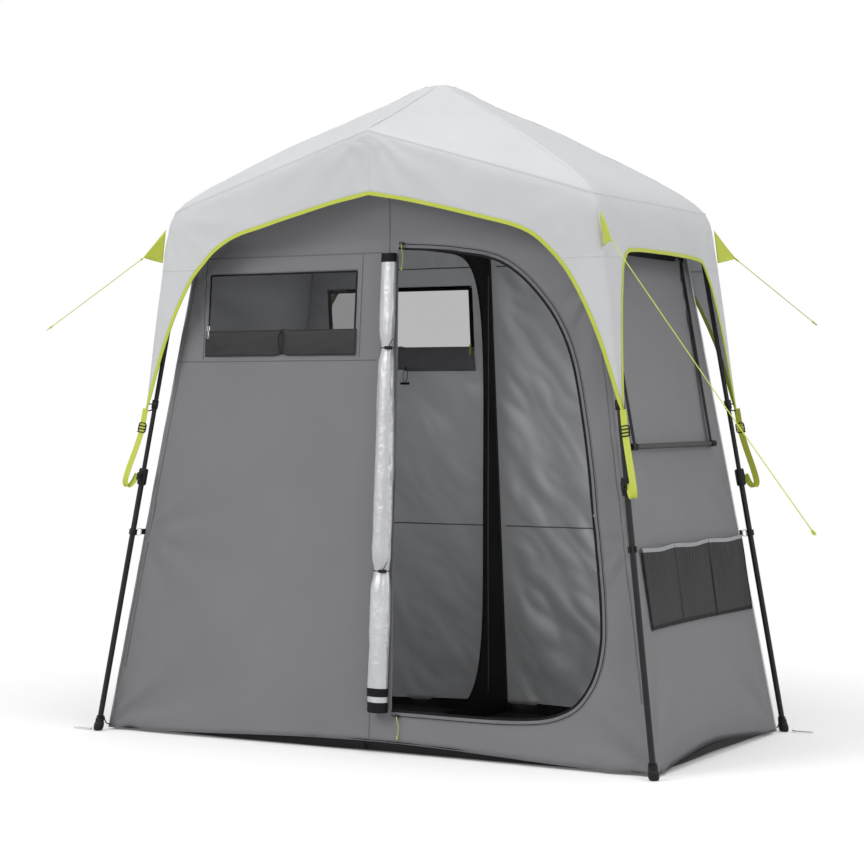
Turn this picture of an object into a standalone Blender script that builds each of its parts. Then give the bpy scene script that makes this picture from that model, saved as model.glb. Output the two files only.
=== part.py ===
"""Two-room privacy shower tent: steel frame with folding roof poles and telescoping legs, and its cloth.

Metres, +Z up, front of the tent at -Y, origin on the ground under the middle of the roof.
"""
import math

import bmesh
import bpy
from mathutils import Matrix, Vector

# Frame
FOOT_HALF_X = 1.065
FOOT_HALF_Y = 0.575
ELBOW_HALF_X = 0.800
ELBOW_HALF_Y = 0.400
ELBOW_Z = 1.795
GABLE_HUB_Y = 0.485
GABLE_HUB_Z = 2.020
HUB_PIN_X = 0.060
CENTRE_HUB_RADIUS = 0.028
CENTRE_HUB_HEIGHT = 0.040
ROOF_POLE_RADIUS = 0.008
RIDGE_POLE_RADIUS = 0.008
SOCKET_DEPTH = 0.015
FIT_GAP = 0.0003

# Hinges
PIN_RADIUS = 0.003
TONGUE_THICKNESS = 0.012
TONGUE_RADIUS = 0.011
CHEEK_THICKNESS = 0.010
CHEEK_REACH = 0.014
FORK_BLOCK_LENGTH = 0.030
HINGE_GAP = 0.003
TUBE_START = 0.026

# Legs
UPPER_LEG_RADIUS = 0.008
UPPER_LEG_LENGTH = 1.050
LOWER_LEG_RADIUS = 0.0098
LOWER_LEG_WALL = 0.0011
LOWER_LEG_LENGTH = 0.930
FOOT_SEAT = 0.022
FOOT_RADIUS = 0.018
FOOT_HEIGHT = 0.044
COLLAR_RADIUS = 0.0165
COLLAR_LENGTH = 0.058
COLLAR_RISE = 0.008
BOSS_WIDTH = 0.018
BOSS_HEIGHT = 0.026
BOSS_OUT = 0.024
BUTTON_RADIUS = 0.0055
BUTTON_LENGTH = 0.012
BUTTON_STROKE = 0.004

# Canopy
CLOTH = 0.002
PEAK_Z = 2.270
GABLE_PEAK_Y = 0.512
GABLE_PEAK_Z = 2.062
EAVE_HALF_X = 0.835
EAVE_HALF_Y = 0.487
EAVE_Z = 1.830
TIP_HALF_X = 0.921
TIP_HALF_Y = 0.487
TIP_Z = 1.120
ROOF_CROWN = 0.022
GABLE_BELLY = 0.007
ROOF_ROWS = 5
SKIRT_ROWS = 4
FRONT_EDGE = [(0.0, 1.848), (0.17, 1.816), (0.40, 1.760), (0.57, 1.712), (0.665, 1.645), (0.75, 1.54), (0.838, 1.36)]
SIDE_EDGE = [(0.0, 1.650), (0.24, 1.642), (0.325, 1.610), (0.385, 1.510), (0.438, 1.340)]

# Walls and floor
WALL_INSET_X = 0.007
WALL_INSET_Y = 0.045
WALL_FOOT_X = FOOT_HALF_X - WALL_INSET_X
WALL_HEAD_X = 0.768
WALL_FOOT_Y = FOOT_HALF_Y - WALL_INSET_Y
WALL_HEAD_Y = 0.385
WALL_HEAD_Z = 1.700
BEND_Z = 1.712
ELBOW_REACH = 0.070
SIDE_TOP_Z = 1.760
HEM_Z = 0.0036
HEM_ARCH = 0.030
SIDE_BOW = 0.020
FOLD_DEPTH = 0.010
FLOOR_THICKNESS = 0.003
DOOR_TOP = 1.674
DOOR_FOOT = 0.140
DOOR_HINGE_TOP_X = 0.052
DOOR_HINGE_FOOT_X = 0.100
DOOR_EDGE = [(0.27, 1.655), (0.45, 1.612), (0.60, 1.487), (0.70, 1.322), (0.762, 1.071), (0.806, 0.787),
             (0.84, 0.538), (0.846, 0.382), (0.81, 0.256), (0.726, 0.175), (0.55, 0.142)]
FRONT_WINDOW = (-0.704, -0.107, 1.400, 1.602)
BACK_WINDOW = (-0.700, -0.090, 1.356, 1.580)
DOORWAY_HALF = 0.346
DOORWAY_SHIFT_Y = -0.016
DOORWAY_TOP = 1.690
DOORWAY_FOOT = 0.055

# Rolled door
ROLL_TOP_Z = 1.656
ROLL_FOOT_Z = 0.138
ROLL_TOP_X = 0.030
ROLL_FOOT_X = 0.064
ROLL_HALF_WIDTH = 0.043
ROLL_HALF_DEPTH = 0.026
ROLL_ENDS = 0.62
CINCH_HEIGHTS = (1.340, 0.600)

# Fittings on the cloth
RAIL_Z = 1.016
RAIL_HALF_LENGTH = 0.351
RAIL_RADIUS = 0.009
RAIL_STRAP_Y = 0.325
RAIL_STRAP_WIDTH = 0.020
RAIL_PIVOT_Z = 1.645
WEBBING = 0.0016
PATCH_HEIGHT = 0.030
POCKET_FOOT_Z = 0.437
POCKET_TOP_Z = 0.695
POCKET_FRONT_Y = -0.385
POCKET_BACK_Y = 0.475
POCKET_OPEN = 0.016
STRAP_WIDTH = 0.020
STRAP_LENGTH = 0.115
TAB_Z = 1.667
TAB_RISE = 0.096
TAB_DROP = 0.020
TAB_REACH = 0.056
GUY_RADIUS = 0.0015
SLIDER_LENGTH = 0.016
SLIDER_WIDTH = 0.010
SLIDER_DEPTH = 0.005
LOWER_SLIDER_X = 0.125
UPPER_SLIDER_X = 0.066
SLIDER_LIFT = 0.016

CORNERS = {"front_left": (-1, -1), "front_right": (1, -1), "back_left": (-1, 1), "back_right": (1, 1)}
BLACK = (0.012, 0.012, 0.014)
GREY = (0.18, 0.178, 0.188)
PALE = (0.62, 0.63, 0.65)
LIME = (0.47, 0.66, 0.035)
UP = Vector((0, 0, 1))


# Meshes

def add_object(name, verts, faces, colour):
    """One closed mesh object with its own plain material."""
    mesh = bpy.data.meshes.new(name)
    mesh.from_pydata([tuple(v) for v in verts], [], faces)
    work = bmesh.new()
    work.from_mesh(mesh)
    bmesh.ops.recalc_face_normals(work, faces=work.faces)
    work.to_mesh(mesh)
    work.free()
    obj = bpy.data.objects.new(name, mesh)
    bpy.context.scene.collection.objects.link(obj)
    paint(obj, colour)
    return obj


def paint(obj, colour):
    material = bpy.data.materials.new(obj.name)
    material.use_nodes = True
    material.node_tree.nodes["Principled BSDF"].inputs["Base Color"].default_value = (*colour, 1)
    obj.data.materials.clear()
    obj.data.materials.append(material)


def combine(obj, tool, operation):
    """Carry out one exact Boolean at once, and remove the tool."""
    change = obj.modifiers.new("combine", "BOOLEAN")
    change.object = tool
    change.operation = operation
    change.solver = "EXACT"
    bpy.context.view_layer.update()
    result = bpy.data.meshes.new_from_object(obj.evaluated_get(bpy.context.evaluated_depsgraph_get()))
    obj.modifiers.clear()
    colour = obj.data.materials[0]
    obj.data = result
    result.name = obj.name
    result.materials.clear()
    result.materials.append(colour)
    bpy.data.objects.remove(tool)


def set_origin(obj, point):
    """Put the object's origin on its joint, with the shape left in place."""
    obj.data.transform(Matrix.Translation(-Vector(point)))
    obj.location = point


def frame_along(direction, side):
    """Matrix whose Z runs along direction and whose Y leans to side."""
    z = Vector(direction).normalized()
    y = (Vector(side) - z * z.dot(Vector(side))).normalized()
    return Matrix((y.cross(z), y, z)).transposed()


def lathe(profile, origin, turn, sides=16):
    """Verts and faces of a closed turned shape; the profile's (radius, height) points run up one side."""
    verts = [origin + turn @ Vector((0, 0, profile[0][1]))]
    for radius, height in profile:
        for i in range(sides):
            a = 2 * math.pi * i / sides
            verts.append(origin + turn @ Vector((radius * math.cos(a), radius * math.sin(a), height)))
    verts.append(origin + turn @ Vector((0, 0, profile[-1][1])))
    faces = []
    for i in range(sides):
        j = (i + 1) % sides
        faces.append((0, 1 + j, 1 + i))
        for k in range(len(profile) - 1):
            low, high = 1 + k * sides, 1 + (k + 1) * sides
            faces.append((low + i, low + j, high + j, high + i))
        last = 1 + (len(profile) - 1) * sides
        faces.append((last + i, last + j, len(verts) - 1))
    return verts, faces


def rod(name, start, end, radius, colour, sides=16):
    start, end = Vector(start), Vector(end)
    turn = frame_along(end - start, (0.3, 1, 0.2))
    return add_object(name, *lathe([(radius, 0), (radius, (end - start).length)], start, turn, sides), colour)


def tube(name, start, end, radius, wall, colour, sides=16):
    """A pipe open at both ends."""
    start, end = Vector(start), Vector(end)
    turn = frame_along(end - start, (0.3, 1, 0.2))
    length = (end - start).length
    rings = [(radius, 0), (radius, length), (radius - wall, length), (radius - wall, 0)]
    verts, faces = [], []
    for r, h in rings:
        for i in range(sides):
            a = 2 * math.pi * i / sides
            verts.append(start + turn @ Vector((r * math.cos(a), r * math.sin(a), h)))
    for k in range(4):
        for i in range(sides):
            j = (i + 1) % sides
            low, high = k * sides, (k + 1) % 4 * sides
            faces.append((low + i, low + j, high + j, high + i))
    return add_object(name, verts, faces, colour)


def prism(name, outline, low, high, place, colour):
    """An outline pushed from low to high; place turns (u, v, w) into a point."""
    count = len(outline)
    verts = [place(u, v, w) for w in (low, high) for u, v in outline]
    faces = [tuple(range(count))[::-1], tuple(range(count, 2 * count))]
    faces += [(i, (i + 1) % count, count + (i + 1) % count, count + i) for i in range(count)]
    return add_object(name, verts, faces, colour)


def cloth(name, verts, faces, thickness, colour):
    """An open surface given a thickness, half to each side."""
    faces = split_faces(faces)
    work = bmesh.new()
    points = [work.verts.new(v) for v in verts]
    for f in faces:
        work.faces.new([points[i] for i in f])
    work.normal_update()
    half = thickness / 2
    outer = [v.co + v.normal * half for v in points]
    inner = [v.co - v.normal * half for v in points]
    count = len(verts)
    rim = [(loop.vert.index, loop.link_loop_next.vert.index) for loop in boundary_loops(work)]
    work.free()
    solid = faces + [tuple(count + i for i in reversed(f)) for f in faces]
    solid += [(b, a, count + a, count + b) for a, b in rim]
    return add_object(name, outer + inner, solid, colour)


def split_faces(faces):
    """Triangles, so that both sides of the cloth bend along the same lines."""
    triangles = []
    for f in faces:
        triangles += [(f[0], f[i], f[i + 1]) for i in range(1, len(f) - 1)]
    return triangles


def boundary_loops(work):
    """The one loop of each edge on the cloth's border."""
    work.verts.index_update()
    return [e.link_loops[0] for e in work.edges if len(e.link_loops) == 1]


def sheet(name, surface, columns, rows, thickness, colour):
    """Cloth over a grid; surface(u, v) gives the point at two shares from 0 to 1."""
    verts = [surface(i / columns, k / rows) for k in range(rows + 1) for i in range(columns + 1)]
    step = columns + 1
    faces = [(k * step + i, k * step + i + 1, (k + 1) * step + i + 1, (k + 1) * step + i)
             for k in range(rows) for i in range(columns)]
    return cloth(name, verts, faces, thickness, colour)


def mix(a, b, share):
    return a + (b - a) * share


# Frame

def foot_point(sx, sy):
    return Vector((sx * FOOT_HALF_X, sy * FOOT_HALF_Y, 0))


def elbow_point(sx, sy):
    return Vector((sx * ELBOW_HALF_X, sy * ELBOW_HALF_Y, ELBOW_Z))


def hub_pin(sx, sy):
    return Vector((sx * HUB_PIN_X, sy * GABLE_HUB_Y, GABLE_HUB_Z))


def flat_direction(start, end):
    """Direction in the plane that a hinge along Y turns in."""
    step = end - start
    return Vector((step.x, 0, step.z)).normalized()


def add_pin(obj, centre):
    reach = Vector((0, TONGUE_THICKNESS / 2 + CHEEK_THICKNESS / 2, 0))
    combine(obj, rod("pin", centre - reach, centre + reach, PIN_RADIUS, BLACK, 12), "UNION")


def fork_cheek():
    """Half widths of the slot and of the whole fork."""
    slot = TONGUE_THICKNESS / 2 + FIT_GAP
    return slot, slot + CHEEK_THICKNESS


def gable_hub(name, sy):
    """Moulded hub at the top of a gable: a slotted block with two hinge pins and a socket for the ridge pole."""
    slot, half = fork_cheek()
    root = HUB_PIN_X - TONGUE_RADIUS - HINGE_GAP
    tip = HUB_PIN_X + CHEEK_REACH
    side = [(root, slot), (tip, slot), (tip, half), (-tip, half), (-tip, slot), (-root, slot)]
    outline = side + [(-x, -y) for x, y in side]
    centre = Vector((0, sy * GABLE_HUB_Y, GABLE_HUB_Z))
    hub = prism(name, outline, -CHEEK_REACH, CHEEK_REACH, lambda u, v, w: centre + Vector((u, v, w)), BLACK)
    for sx in (-1, 1):
        add_pin(hub, hub_pin(sx, sy))
    start, end = ridge_line(sy)
    combine(hub, rod("socket", start, end, RIDGE_POLE_RADIUS + FIT_GAP, BLACK), "DIFFERENCE")


def centre_hub_z():
    """Height of the centre hub's middle: its cone stops just under the canopy's peak."""
    fall = (PEAK_Z - EAVE_Z) / ROOF_ROWS
    slope = fall * ROOF_ROWS / EAVE_HALF_X
    tip = PEAK_Z - CLOTH / 2 * math.hypot(1, slope) - PIN_RADIUS * slope - FIT_GAP
    return tip - CENTRE_HUB_RADIUS - CENTRE_HUB_HEIGHT / 2


def ridge_line(sy):
    """Ends of a ridge pole, each seated in its hub."""
    gable = Vector((0, sy * (GABLE_HUB_Y - fork_cheek()[1]), GABLE_HUB_Z))
    centre = Vector((0, sy * CENTRE_HUB_RADIUS, centre_hub_z()))
    along = (centre - gable).normalized() * SOCKET_DEPTH
    return gable - along, centre + along


def centre_hub():
    """Turned hub under the roof's peak with a cone for the cloth and two sockets."""
    low, high = -CENTRE_HUB_HEIGHT / 2, CENTRE_HUB_HEIGHT / 2
    profile = [(CENTRE_HUB_RADIUS, low), (CENTRE_HUB_RADIUS, high), (PIN_RADIUS, high + CENTRE_HUB_RADIUS)]
    hub = add_object("centre_hub", *lathe(profile, Vector((0, 0, centre_hub_z())), Matrix.Identity(3)), BLACK)
    for sy in (-1, 1):
        combine(hub, rod("socket", *ridge_line(sy), RIDGE_POLE_RADIUS + FIT_GAP, BLACK), "DIFFERENCE")


def ridge_pole(name, sy):
    start, end = ridge_line(sy)
    inset = (end - start).normalized() * FIT_GAP
    rod(name, start + inset, end - inset, RIDGE_POLE_RADIUS, BLACK)


def add_tongue(obj, pin, direction, width):
    """Flat end of a pole, turning on a hinge pin."""
    side = Vector((0, 1, 0))
    across = direction.cross(side)

    def place(u, v, w):
        return pin + direction * u + across * v + side * w

    arc = [math.radians(90 + 180 * i / 8) for i in range(9)]
    outline = [(TONGUE_RADIUS * math.cos(a), TONGUE_RADIUS * math.sin(a)) for a in arc]
    outline += [(TUBE_START, -width), (TUBE_START + TONGUE_RADIUS, -width / 2)]
    outline += [(TUBE_START + TONGUE_RADIUS, width / 2), (TUBE_START, width)]
    half = TONGUE_THICKNESS / 2
    combine(obj, prism("tongue", outline, -half, half, place, BLACK), "UNION")
    reach = side * TONGUE_THICKNESS
    combine(obj, rod("eye", pin - reach, pin + reach, PIN_RADIUS + FIT_GAP, BLACK, 12), "DIFFERENCE")


def roof_pole(name, sx, sy):
    """Steel roof pole hinged at the gable hub and seated in the elbow's socket."""
    start, end = hub_pin(sx, sy), elbow_point(sx, sy)
    along = (end - start).normalized()
    seat = TONGUE_RADIUS + HINGE_GAP + FORK_BLOCK_LENGTH - SOCKET_DEPTH
    pole = rod(name, start + along * TUBE_START, end - along * seat, ROOF_POLE_RADIUS, BLACK)
    add_tongue(pole, start, flat_direction(start, end), ROOF_POLE_RADIUS)
    set_origin(pole, start)


def elbow(name, sx, sy):
    """Moulded fork on the outer end of a roof pole, with the leg's hinge pin."""
    start, end = hub_pin(sx, sy), elbow_point(sx, sy)
    along, side = flat_direction(start, end), Vector((0, 1, 0))
    up = side.cross(along)
    slot, half = fork_cheek()
    root = -(TONGUE_RADIUS + HINGE_GAP)
    tail = root - FORK_BLOCK_LENGTH
    outline = [(tail, -half), (CHEEK_REACH, -half), (CHEEK_REACH, -slot), (root, -slot),
               (root, slot), (CHEEK_REACH, slot), (CHEEK_REACH, half), (tail, half)]
    fork = prism(name, outline, -CHEEK_REACH, CHEEK_REACH,
                 lambda u, v, w: end + along * u + side * v + up * w, BLACK)
    add_pin(fork, end)
    pole = (end - start).normalized()
    depth = TONGUE_RADIUS + HINGE_GAP + FORK_BLOCK_LENGTH
    bore = rod("bore", end - pole * (depth + SOCKET_DEPTH), end - pole * (depth - SOCKET_DEPTH - FIT_GAP),
               ROOF_POLE_RADIUS + FIT_GAP, BLACK)
    combine(fork, bore, "DIFFERENCE")
    set_origin(fork, start)


# Legs

def leg_axis(sx, sy):
    """Elbow pin, direction down the leg, and the leg's length."""
    top, foot = elbow_point(sx, sy), foot_point(sx, sy)
    return top, (foot - top).normalized(), (foot - top).length


def leg_top_of_lower(sx, sy):
    return leg_axis(sx, sy)[2] - LOWER_LEG_LENGTH


def upper_leg(name, sx, sy):
    top, down, length = leg_axis(sx, sy)
    leg = rod(name, top + down * TUBE_START, top + down * UPPER_LEG_LENGTH, UPPER_LEG_RADIUS, BLACK)
    add_tongue(leg, top, flat_direction(top, foot_point(sx, sy)), UPPER_LEG_RADIUS)
    set_origin(leg, top)


def lower_leg(name, sx, sy):
    top, down, length = leg_axis(sx, sy)
    start = top + down * leg_top_of_lower(sx, sy)
    leg = tube(name, start, top + down * (length - FOOT_SEAT), LOWER_LEG_RADIUS, LOWER_LEG_WALL, BLACK)
    set_origin(leg, start)


def button_place(sx, sy):
    """Middle of the button's outer end and the way that it points."""
    top, down, length = leg_axis(sx, sy)
    out = Vector((0, sy, 0))
    out = (out - down * down.dot(out)).normalized()
    middle = top + down * (leg_top_of_lower(sx, sy) - COLLAR_RISE + COLLAR_LENGTH / 2)
    return middle, out


def leg_lock(name, sx, sy):
    """Moulded collar round the joint of the two tubes, with a boss that holds the button."""
    top, down, length = leg_axis(sx, sy)
    start = top + down * (leg_top_of_lower(sx, sy) - COLLAR_RISE)
    turn = frame_along(down, (0, sy, 0))
    ease = COLLAR_RADIUS * 0.88
    profile = [(ease, 0), (COLLAR_RADIUS, 0.006), (COLLAR_RADIUS, COLLAR_LENGTH - 0.006), (ease, COLLAR_LENGTH)]
    collar = add_object(name, *lathe(profile, start, turn), BLACK)
    middle, out = button_place(sx, sy)
    half, tall = BOSS_WIDTH / 2, BOSS_HEIGHT / 2
    outline = [(-half, -tall), (half, -tall), (half, tall), (-half, tall)]
    across = down.cross(out)
    boss = prism("boss", outline, LOWER_LEG_RADIUS + 2 * FIT_GAP, BOSS_OUT,
                 lambda u, v, w: middle + across * u + down * v + out * w, BLACK)
    combine(collar, boss, "UNION")
    end = start + down * COLLAR_LENGTH
    bore = rod("bore", start - down * COLLAR_RISE, end + down * COLLAR_RISE, LOWER_LEG_RADIUS + FIT_GAP, BLACK)
    combine(collar, bore, "DIFFERENCE")
    pocket = rod("pocket", middle + out * (BOSS_OUT - BUTTON_LENGTH - FIT_GAP), middle + out * (2 * BOSS_OUT),
                 BUTTON_RADIUS + FIT_GAP, BLACK)
    combine(collar, pocket, "DIFFERENCE")
    set_origin(collar, top + down * leg_top_of_lower(sx, sy))


def lock_button(name, sx, sy):
    """Push button that stands out of its boss by its stroke."""
    middle, out = button_place(sx, sy)
    end = middle + out * (BOSS_OUT + BUTTON_STROKE)
    button = rod(name, end - out * BUTTON_LENGTH, end, BUTTON_RADIUS, BLACK)
    set_origin(button, end)


def foot(name, sx, sy):
    """Moulded boot that leans with its leg and stands flat on the ground."""
    top, down, length = leg_axis(sx, sy)
    lean = Matrix(((1, 0, down.x / down.z), (0, 1, down.y / down.z), (0, 0, 1)))
    profile = [(0.78, 0.0), (0.94, 0.10), (1.0, 0.30), (0.98, 0.52), (0.86, 0.66), (0.84, 1.0)]
    profile = [(r * FOOT_RADIUS, h * FOOT_HEIGHT) for r, h in profile]
    boot = add_object(name, *lathe(profile, foot_point(sx, sy), lean), BLACK)
    seat = top + down * (length - FOOT_SEAT + FIT_GAP)
    bore = rod("bore", seat, seat - down * (2 * FOOT_HEIGHT), LOWER_LEG_RADIUS + FIT_GAP, BLACK)
    combine(boot, bore, "DIFFERENCE")
    set_origin(boot, top + down * leg_top_of_lower(sx, sy))


# Canopy

def canopy_quarter(sx, sy):
    """Pairs of eave and lower-edge points from the gable's peak round a corner to the middle of the side."""
    ratio_x = EAVE_HALF_X / TIP_HALF_X
    ratio_y = EAVE_HALF_Y / TIP_HALF_Y
    pairs = []
    for x, z in FRONT_EDGE:
        share = x * ratio_x / EAVE_HALF_X
        eave = (x * ratio_x, mix(GABLE_PEAK_Y, EAVE_HALF_Y, share), mix(GABLE_PEAK_Z, EAVE_Z, share))
        lower_y = mix(EAVE_HALF_Y, TIP_HALF_Y, (EAVE_Z - z) / (EAVE_Z - TIP_Z))
        lower_y += GABLE_BELLY * (1 - (x / TIP_HALF_X) ** 2)
        pairs.append((eave, (x, lower_y, z)))
    pairs.append(((EAVE_HALF_X, EAVE_HALF_Y, EAVE_Z), (TIP_HALF_X, TIP_HALF_Y, TIP_Z)))
    for y, z in reversed(SIDE_EDGE):
        lower_x = mix(EAVE_HALF_X, TIP_HALF_X, (EAVE_Z - z) / (EAVE_Z - TIP_Z))
        pairs.append(((EAVE_HALF_X, y * ratio_y, EAVE_Z), (lower_x, y, z)))
    return [tuple(Vector((sx * p.x, sy * p.y, p.z)) for p in map(Vector, pair)) for pair in pairs]


def canopy_edge():
    """All pairs once round, without repeats, anticlockwise from above."""
    ring = canopy_quarter(1, -1)
    ring += canopy_quarter(1, 1)[-2::-1]
    ring += canopy_quarter(-1, 1)[1:]
    ring += canopy_quarter(-1, -1)[-2:0:-1]
    return ring


def canopy():
    """Roof cloth from the peak to the eaves, and the skirt down to its bound edge and corner tips."""
    ring = canopy_edge()
    count = len(ring)
    peak = Vector((0, 0, PEAK_Z))
    verts = [peak]
    for k in range(1, ROOF_ROWS + 1):
        share = k / ROOF_ROWS
        crown = UP * ROOF_CROWN * math.sin(math.pi * share) / EAVE_HALF_X
        verts += [peak.lerp(eave, share) + crown * abs(eave.x) for eave, low in ring]
    for k in range(1, SKIRT_ROWS + 1):
        verts += [eave.lerp(low, k / SKIRT_ROWS) for eave, low in ring]
    faces = [(0, 1 + i, 1 + (i + 1) % count) for i in range(count)]
    for k in range(ROOF_ROWS + SKIRT_ROWS - 1):
        high, low = 1 + k * count, 1 + (k + 1) * count
        faces += [(high + i, low + i, low + (i + 1) % count, high + (i + 1) % count) for i in range(count)]
    cloth("canopy", verts, faces, CLOTH, PALE)


# Walls and floor

def wall_x(z):
    """Half width of the cloth body at a height."""
    return mix(WALL_FOOT_X, WALL_HEAD_X, z / WALL_HEAD_Z)


def wall_y(z):
    return mix(WALL_FOOT_Y, WALL_HEAD_Y, z / WALL_HEAD_Z)


def pole_line(x, sy):
    """Point on a roof pole's axis at a distance from the middle."""
    share = (abs(x) - HUB_PIN_X) / (ELBOW_HALF_X - HUB_PIN_X)
    start, end = hub_pin(1, sy), elbow_point(1, sy)
    return start.lerp(end, share)


def long_wall(sy, x_low, x_high, depth):
    """Surface of a front or back wall between two shares of its width, hung from the roof poles."""
    def surface(u, v):
        share = mix(x_low, x_high, u)
        if v <= 0.8:
            bottom = HEM_Z + CLOTH / 2 + HEM_ARCH * math.cos(math.pi * share / 2) ** 2 * min(1, abs(share) * 4)
            z = mix(bottom, BEND_Z, v / 0.8)
            x = share * wall_x(z)
            fold = depth * math.sin(3 * math.pi * (share + 0.45 * z)) * math.sin(math.pi * share) ** 2
            return Vector((x, sy * (wall_y(z) - abs(fold)), z))
        x = share * (ELBOW_HALF_X - ELBOW_REACH)
        top = pole_line(x, sy)
        slope = flat_direction(hub_pin(1, sy), elbow_point(1, sy))
        under = top - UP * ((ROOF_POLE_RADIUS + FIT_GAP) / slope.x + CLOTH / 4)
        under.x = x
        if abs(x) < HUB_PIN_X + CHEEK_REACH:
            under.z = min(under.z, GABLE_HUB_Z - CHEEK_REACH - 2 * FIT_GAP)
        return Vector((share * wall_x(BEND_Z), sy * wall_y(BEND_Z), BEND_Z)).lerp(under, (v - 0.8) / 0.2)
    return surface


def cut_hole(obj, outline, sy):
    """Cut an outline of (x, z) points through a front or back wall."""
    reach = sy * FOOT_HALF_Y
    hole = prism("hole", outline, 0.3 * reach, 1.5 * reach, lambda u, v, w: Vector((u, w, v)), GREY)
    combine(obj, hole, "DIFFERENCE")


def box_outline(x0, x1, z0, z1):
    return [(x0, z0), (x1, z0), (x1, z1), (x0, z1)]


def front_walls():
    """Front cloth in two panels sewn at the middle: a window panel and a door panel."""
    seam = FIT_GAP / 2 / wall_x(0)
    left = sheet("front_wall_left", long_wall(-1, -1, -2 * seam, FOLD_DEPTH), 12, 15, CLOTH, GREY)
    cut_hole(left, box_outline(*FRONT_WINDOW), -1)
    right = sheet("front_wall_right", long_wall(-1, 2 * seam, 1, 0), 12, 15, CLOTH, GREY)
    door = [(DOOR_HINGE_FOOT_X, DOOR_FOOT), (DOOR_HINGE_TOP_X, DOOR_TOP)] + DOOR_EDGE
    cut_hole(right, door, -1)


def back_wall():
    wall = sheet("back_wall", long_wall(1, 1, -1, FOLD_DEPTH), 20, 15, CLOTH, GREY)
    cut_hole(wall, box_outline(*BACK_WINDOW), 1)


def rise(foot_z, v):
    """Height at a share v of a short wall, with a row of points where the long walls bend."""
    if v <= 0.9:
        return mix(foot_z, BEND_Z, v / 0.9)
    return mix(BEND_Z, SIDE_TOP_Z, (v - 0.9) / 0.1)


def side_wall(name, sx):
    """End cloth between the long walls, drawn in a little between the legs."""
    def surface(u, v):
        share = mix(-1, 1, u) * sx
        z = rise(HEM_Z + CLOTH / 2 + HEM_ARCH * math.cos(math.pi * share / 2) ** 2, v)
        low = min(z, BEND_Z)
        half = wall_y(low) - CLOTH / 2 - FIT_GAP
        return Vector((sx * (wall_x(z) - CLOTH / 2 - SIDE_BOW * (1 - share * share)), share * half, z))
    sheet(name, surface, 10, 10, CLOTH, GREY)


def groundsheet():
    x, y = wall_x(0), wall_y(0)
    outline = [(-x, -y), (x, -y), (x, y), (-x, y)]
    prism("groundsheet", outline, 0, FLOOR_THICKNESS, lambda u, v, w: Vector((u, v, w)), BLACK)


def divider():
    """Dark cloth between the two rooms with a doorway, squarer at the front than at the back."""
    def surface(u, v):
        z = rise(FLOOR_THICKNESS + FIT_GAP, v)
        half = wall_y(min(z, BEND_Z)) - CLOTH / 2 - FIT_GAP
        return Vector((0, mix(-half, half, u), z))
    wall = sheet("divider", surface, 10, 10, CLOTH, BLACK)
    hole = prism("hole", [doorway_point(2 * math.pi * i / 32) for i in range(32)], -EAVE_HALF_X, EAVE_HALF_X, lambda u, v, w: Vector((w, u, v)), GREY)
    combine(wall, hole, "DIFFERENCE")


def doorway_point(turn):
    """Point (y, z) of the doorway's outline."""
    height = (DOORWAY_TOP - DOORWAY_FOOT) / 2
    middle = (DOORWAY_TOP + DOORWAY_FOOT) / 2
    power = 0.45 if math.cos(turn) > 0 else 0.15
    return (DOORWAY_SHIFT_Y + DOORWAY_HALF * rounded(math.cos(turn), power),
            middle + height * rounded(math.sin(turn), power))


def rounded(value, power):
    """Squarer than a circle: makes a round-cornered outline from sines."""
    return math.copysign(abs(value) ** power, value)


def door_roll():
    """The door, rolled up beside its opening and cinched twice."""
    rings, sides = 24, 14
    verts, faces = [], []
    for k in range(rings + 1):
        share = k / rings
        z = mix(ROLL_TOP_Z, ROLL_FOOT_Z, share)
        swell = mix(ROLL_ENDS, 1, math.sin(math.pi * (0.12 + 0.88 * share) * 0.55))
        cinch = max(math.exp(-((z - c) / 0.035) ** 2) for c in CINCH_HEIGHTS)
        swell *= 1 - 0.24 * cinch
        depth = ROLL_HALF_DEPTH * swell
        middle = Vector((mix(ROLL_TOP_X, ROLL_FOOT_X, share), -wall_y(z) - CLOTH / 2 - FIT_GAP - depth, z))
        for i in range(sides):
            a = 2 * math.pi * i / sides
            ripple = 1 - 0.10 * (0.5 + 0.5 * math.sin(3 * a + 2.5 * share))
            verts.append(middle + Vector((ROLL_HALF_WIDTH * swell * ripple * math.cos(a), depth * math.sin(a), 0)))
    for k in range(rings):
        for i in range(sides):
            j = (i + 1) % sides
            faces.append((k * sides + i, k * sides + j, (k + 1) * sides + j, (k + 1) * sides + i))
    faces += [tuple(range(sides))[::-1], tuple(rings * sides + i for i in range(sides))]
    add_object("door_roll", verts, faces, GREY)


# Fittings on the cloth

def side_out(y, z):
    """Outer face of the right wall at a point."""
    share = y / (wall_y(min(z, BEND_Z)) - CLOTH / 2 - FIT_GAP)
    return wall_x(z) - SIDE_BOW * (1 - share * share)


def mesh_organizer():
    """Gathered mesh pockets along the right wall, open at the top."""
    def surface(u, v):
        y = mix(POCKET_FRONT_Y, POCKET_BACK_Y, u)
        z = mix(POCKET_FOOT_Z, POCKET_TOP_Z, v)
        belly = POCKET_OPEN * v * (0.65 - 0.35 * math.cos(6 * math.pi * u)) * math.sin(math.pi * u) ** 0.3
        return Vector((side_out(y, z) + WEBBING / 2 + 2 * FIT_GAP + belly, y, z))
    sheet("mesh_organizer", surface, 24, 4, WEBBING, BLACK)


def rail_pivot():
    """Where the rail's straps turn at the foot of their patch."""
    x = side_out(RAIL_STRAP_Y + RAIL_STRAP_WIDTH, RAIL_PIVOT_Z) + WEBBING / 2 + 2 * FIT_GAP
    return Vector((x, 0, RAIL_PIVOT_Z))


def rail_centre():
    x = side_out(RAIL_HALF_LENGTH, RAIL_Z) + RAIL_RADIUS + WEBBING + 3 * FIT_GAP
    return Vector((x, 0, RAIL_Z))


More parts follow.
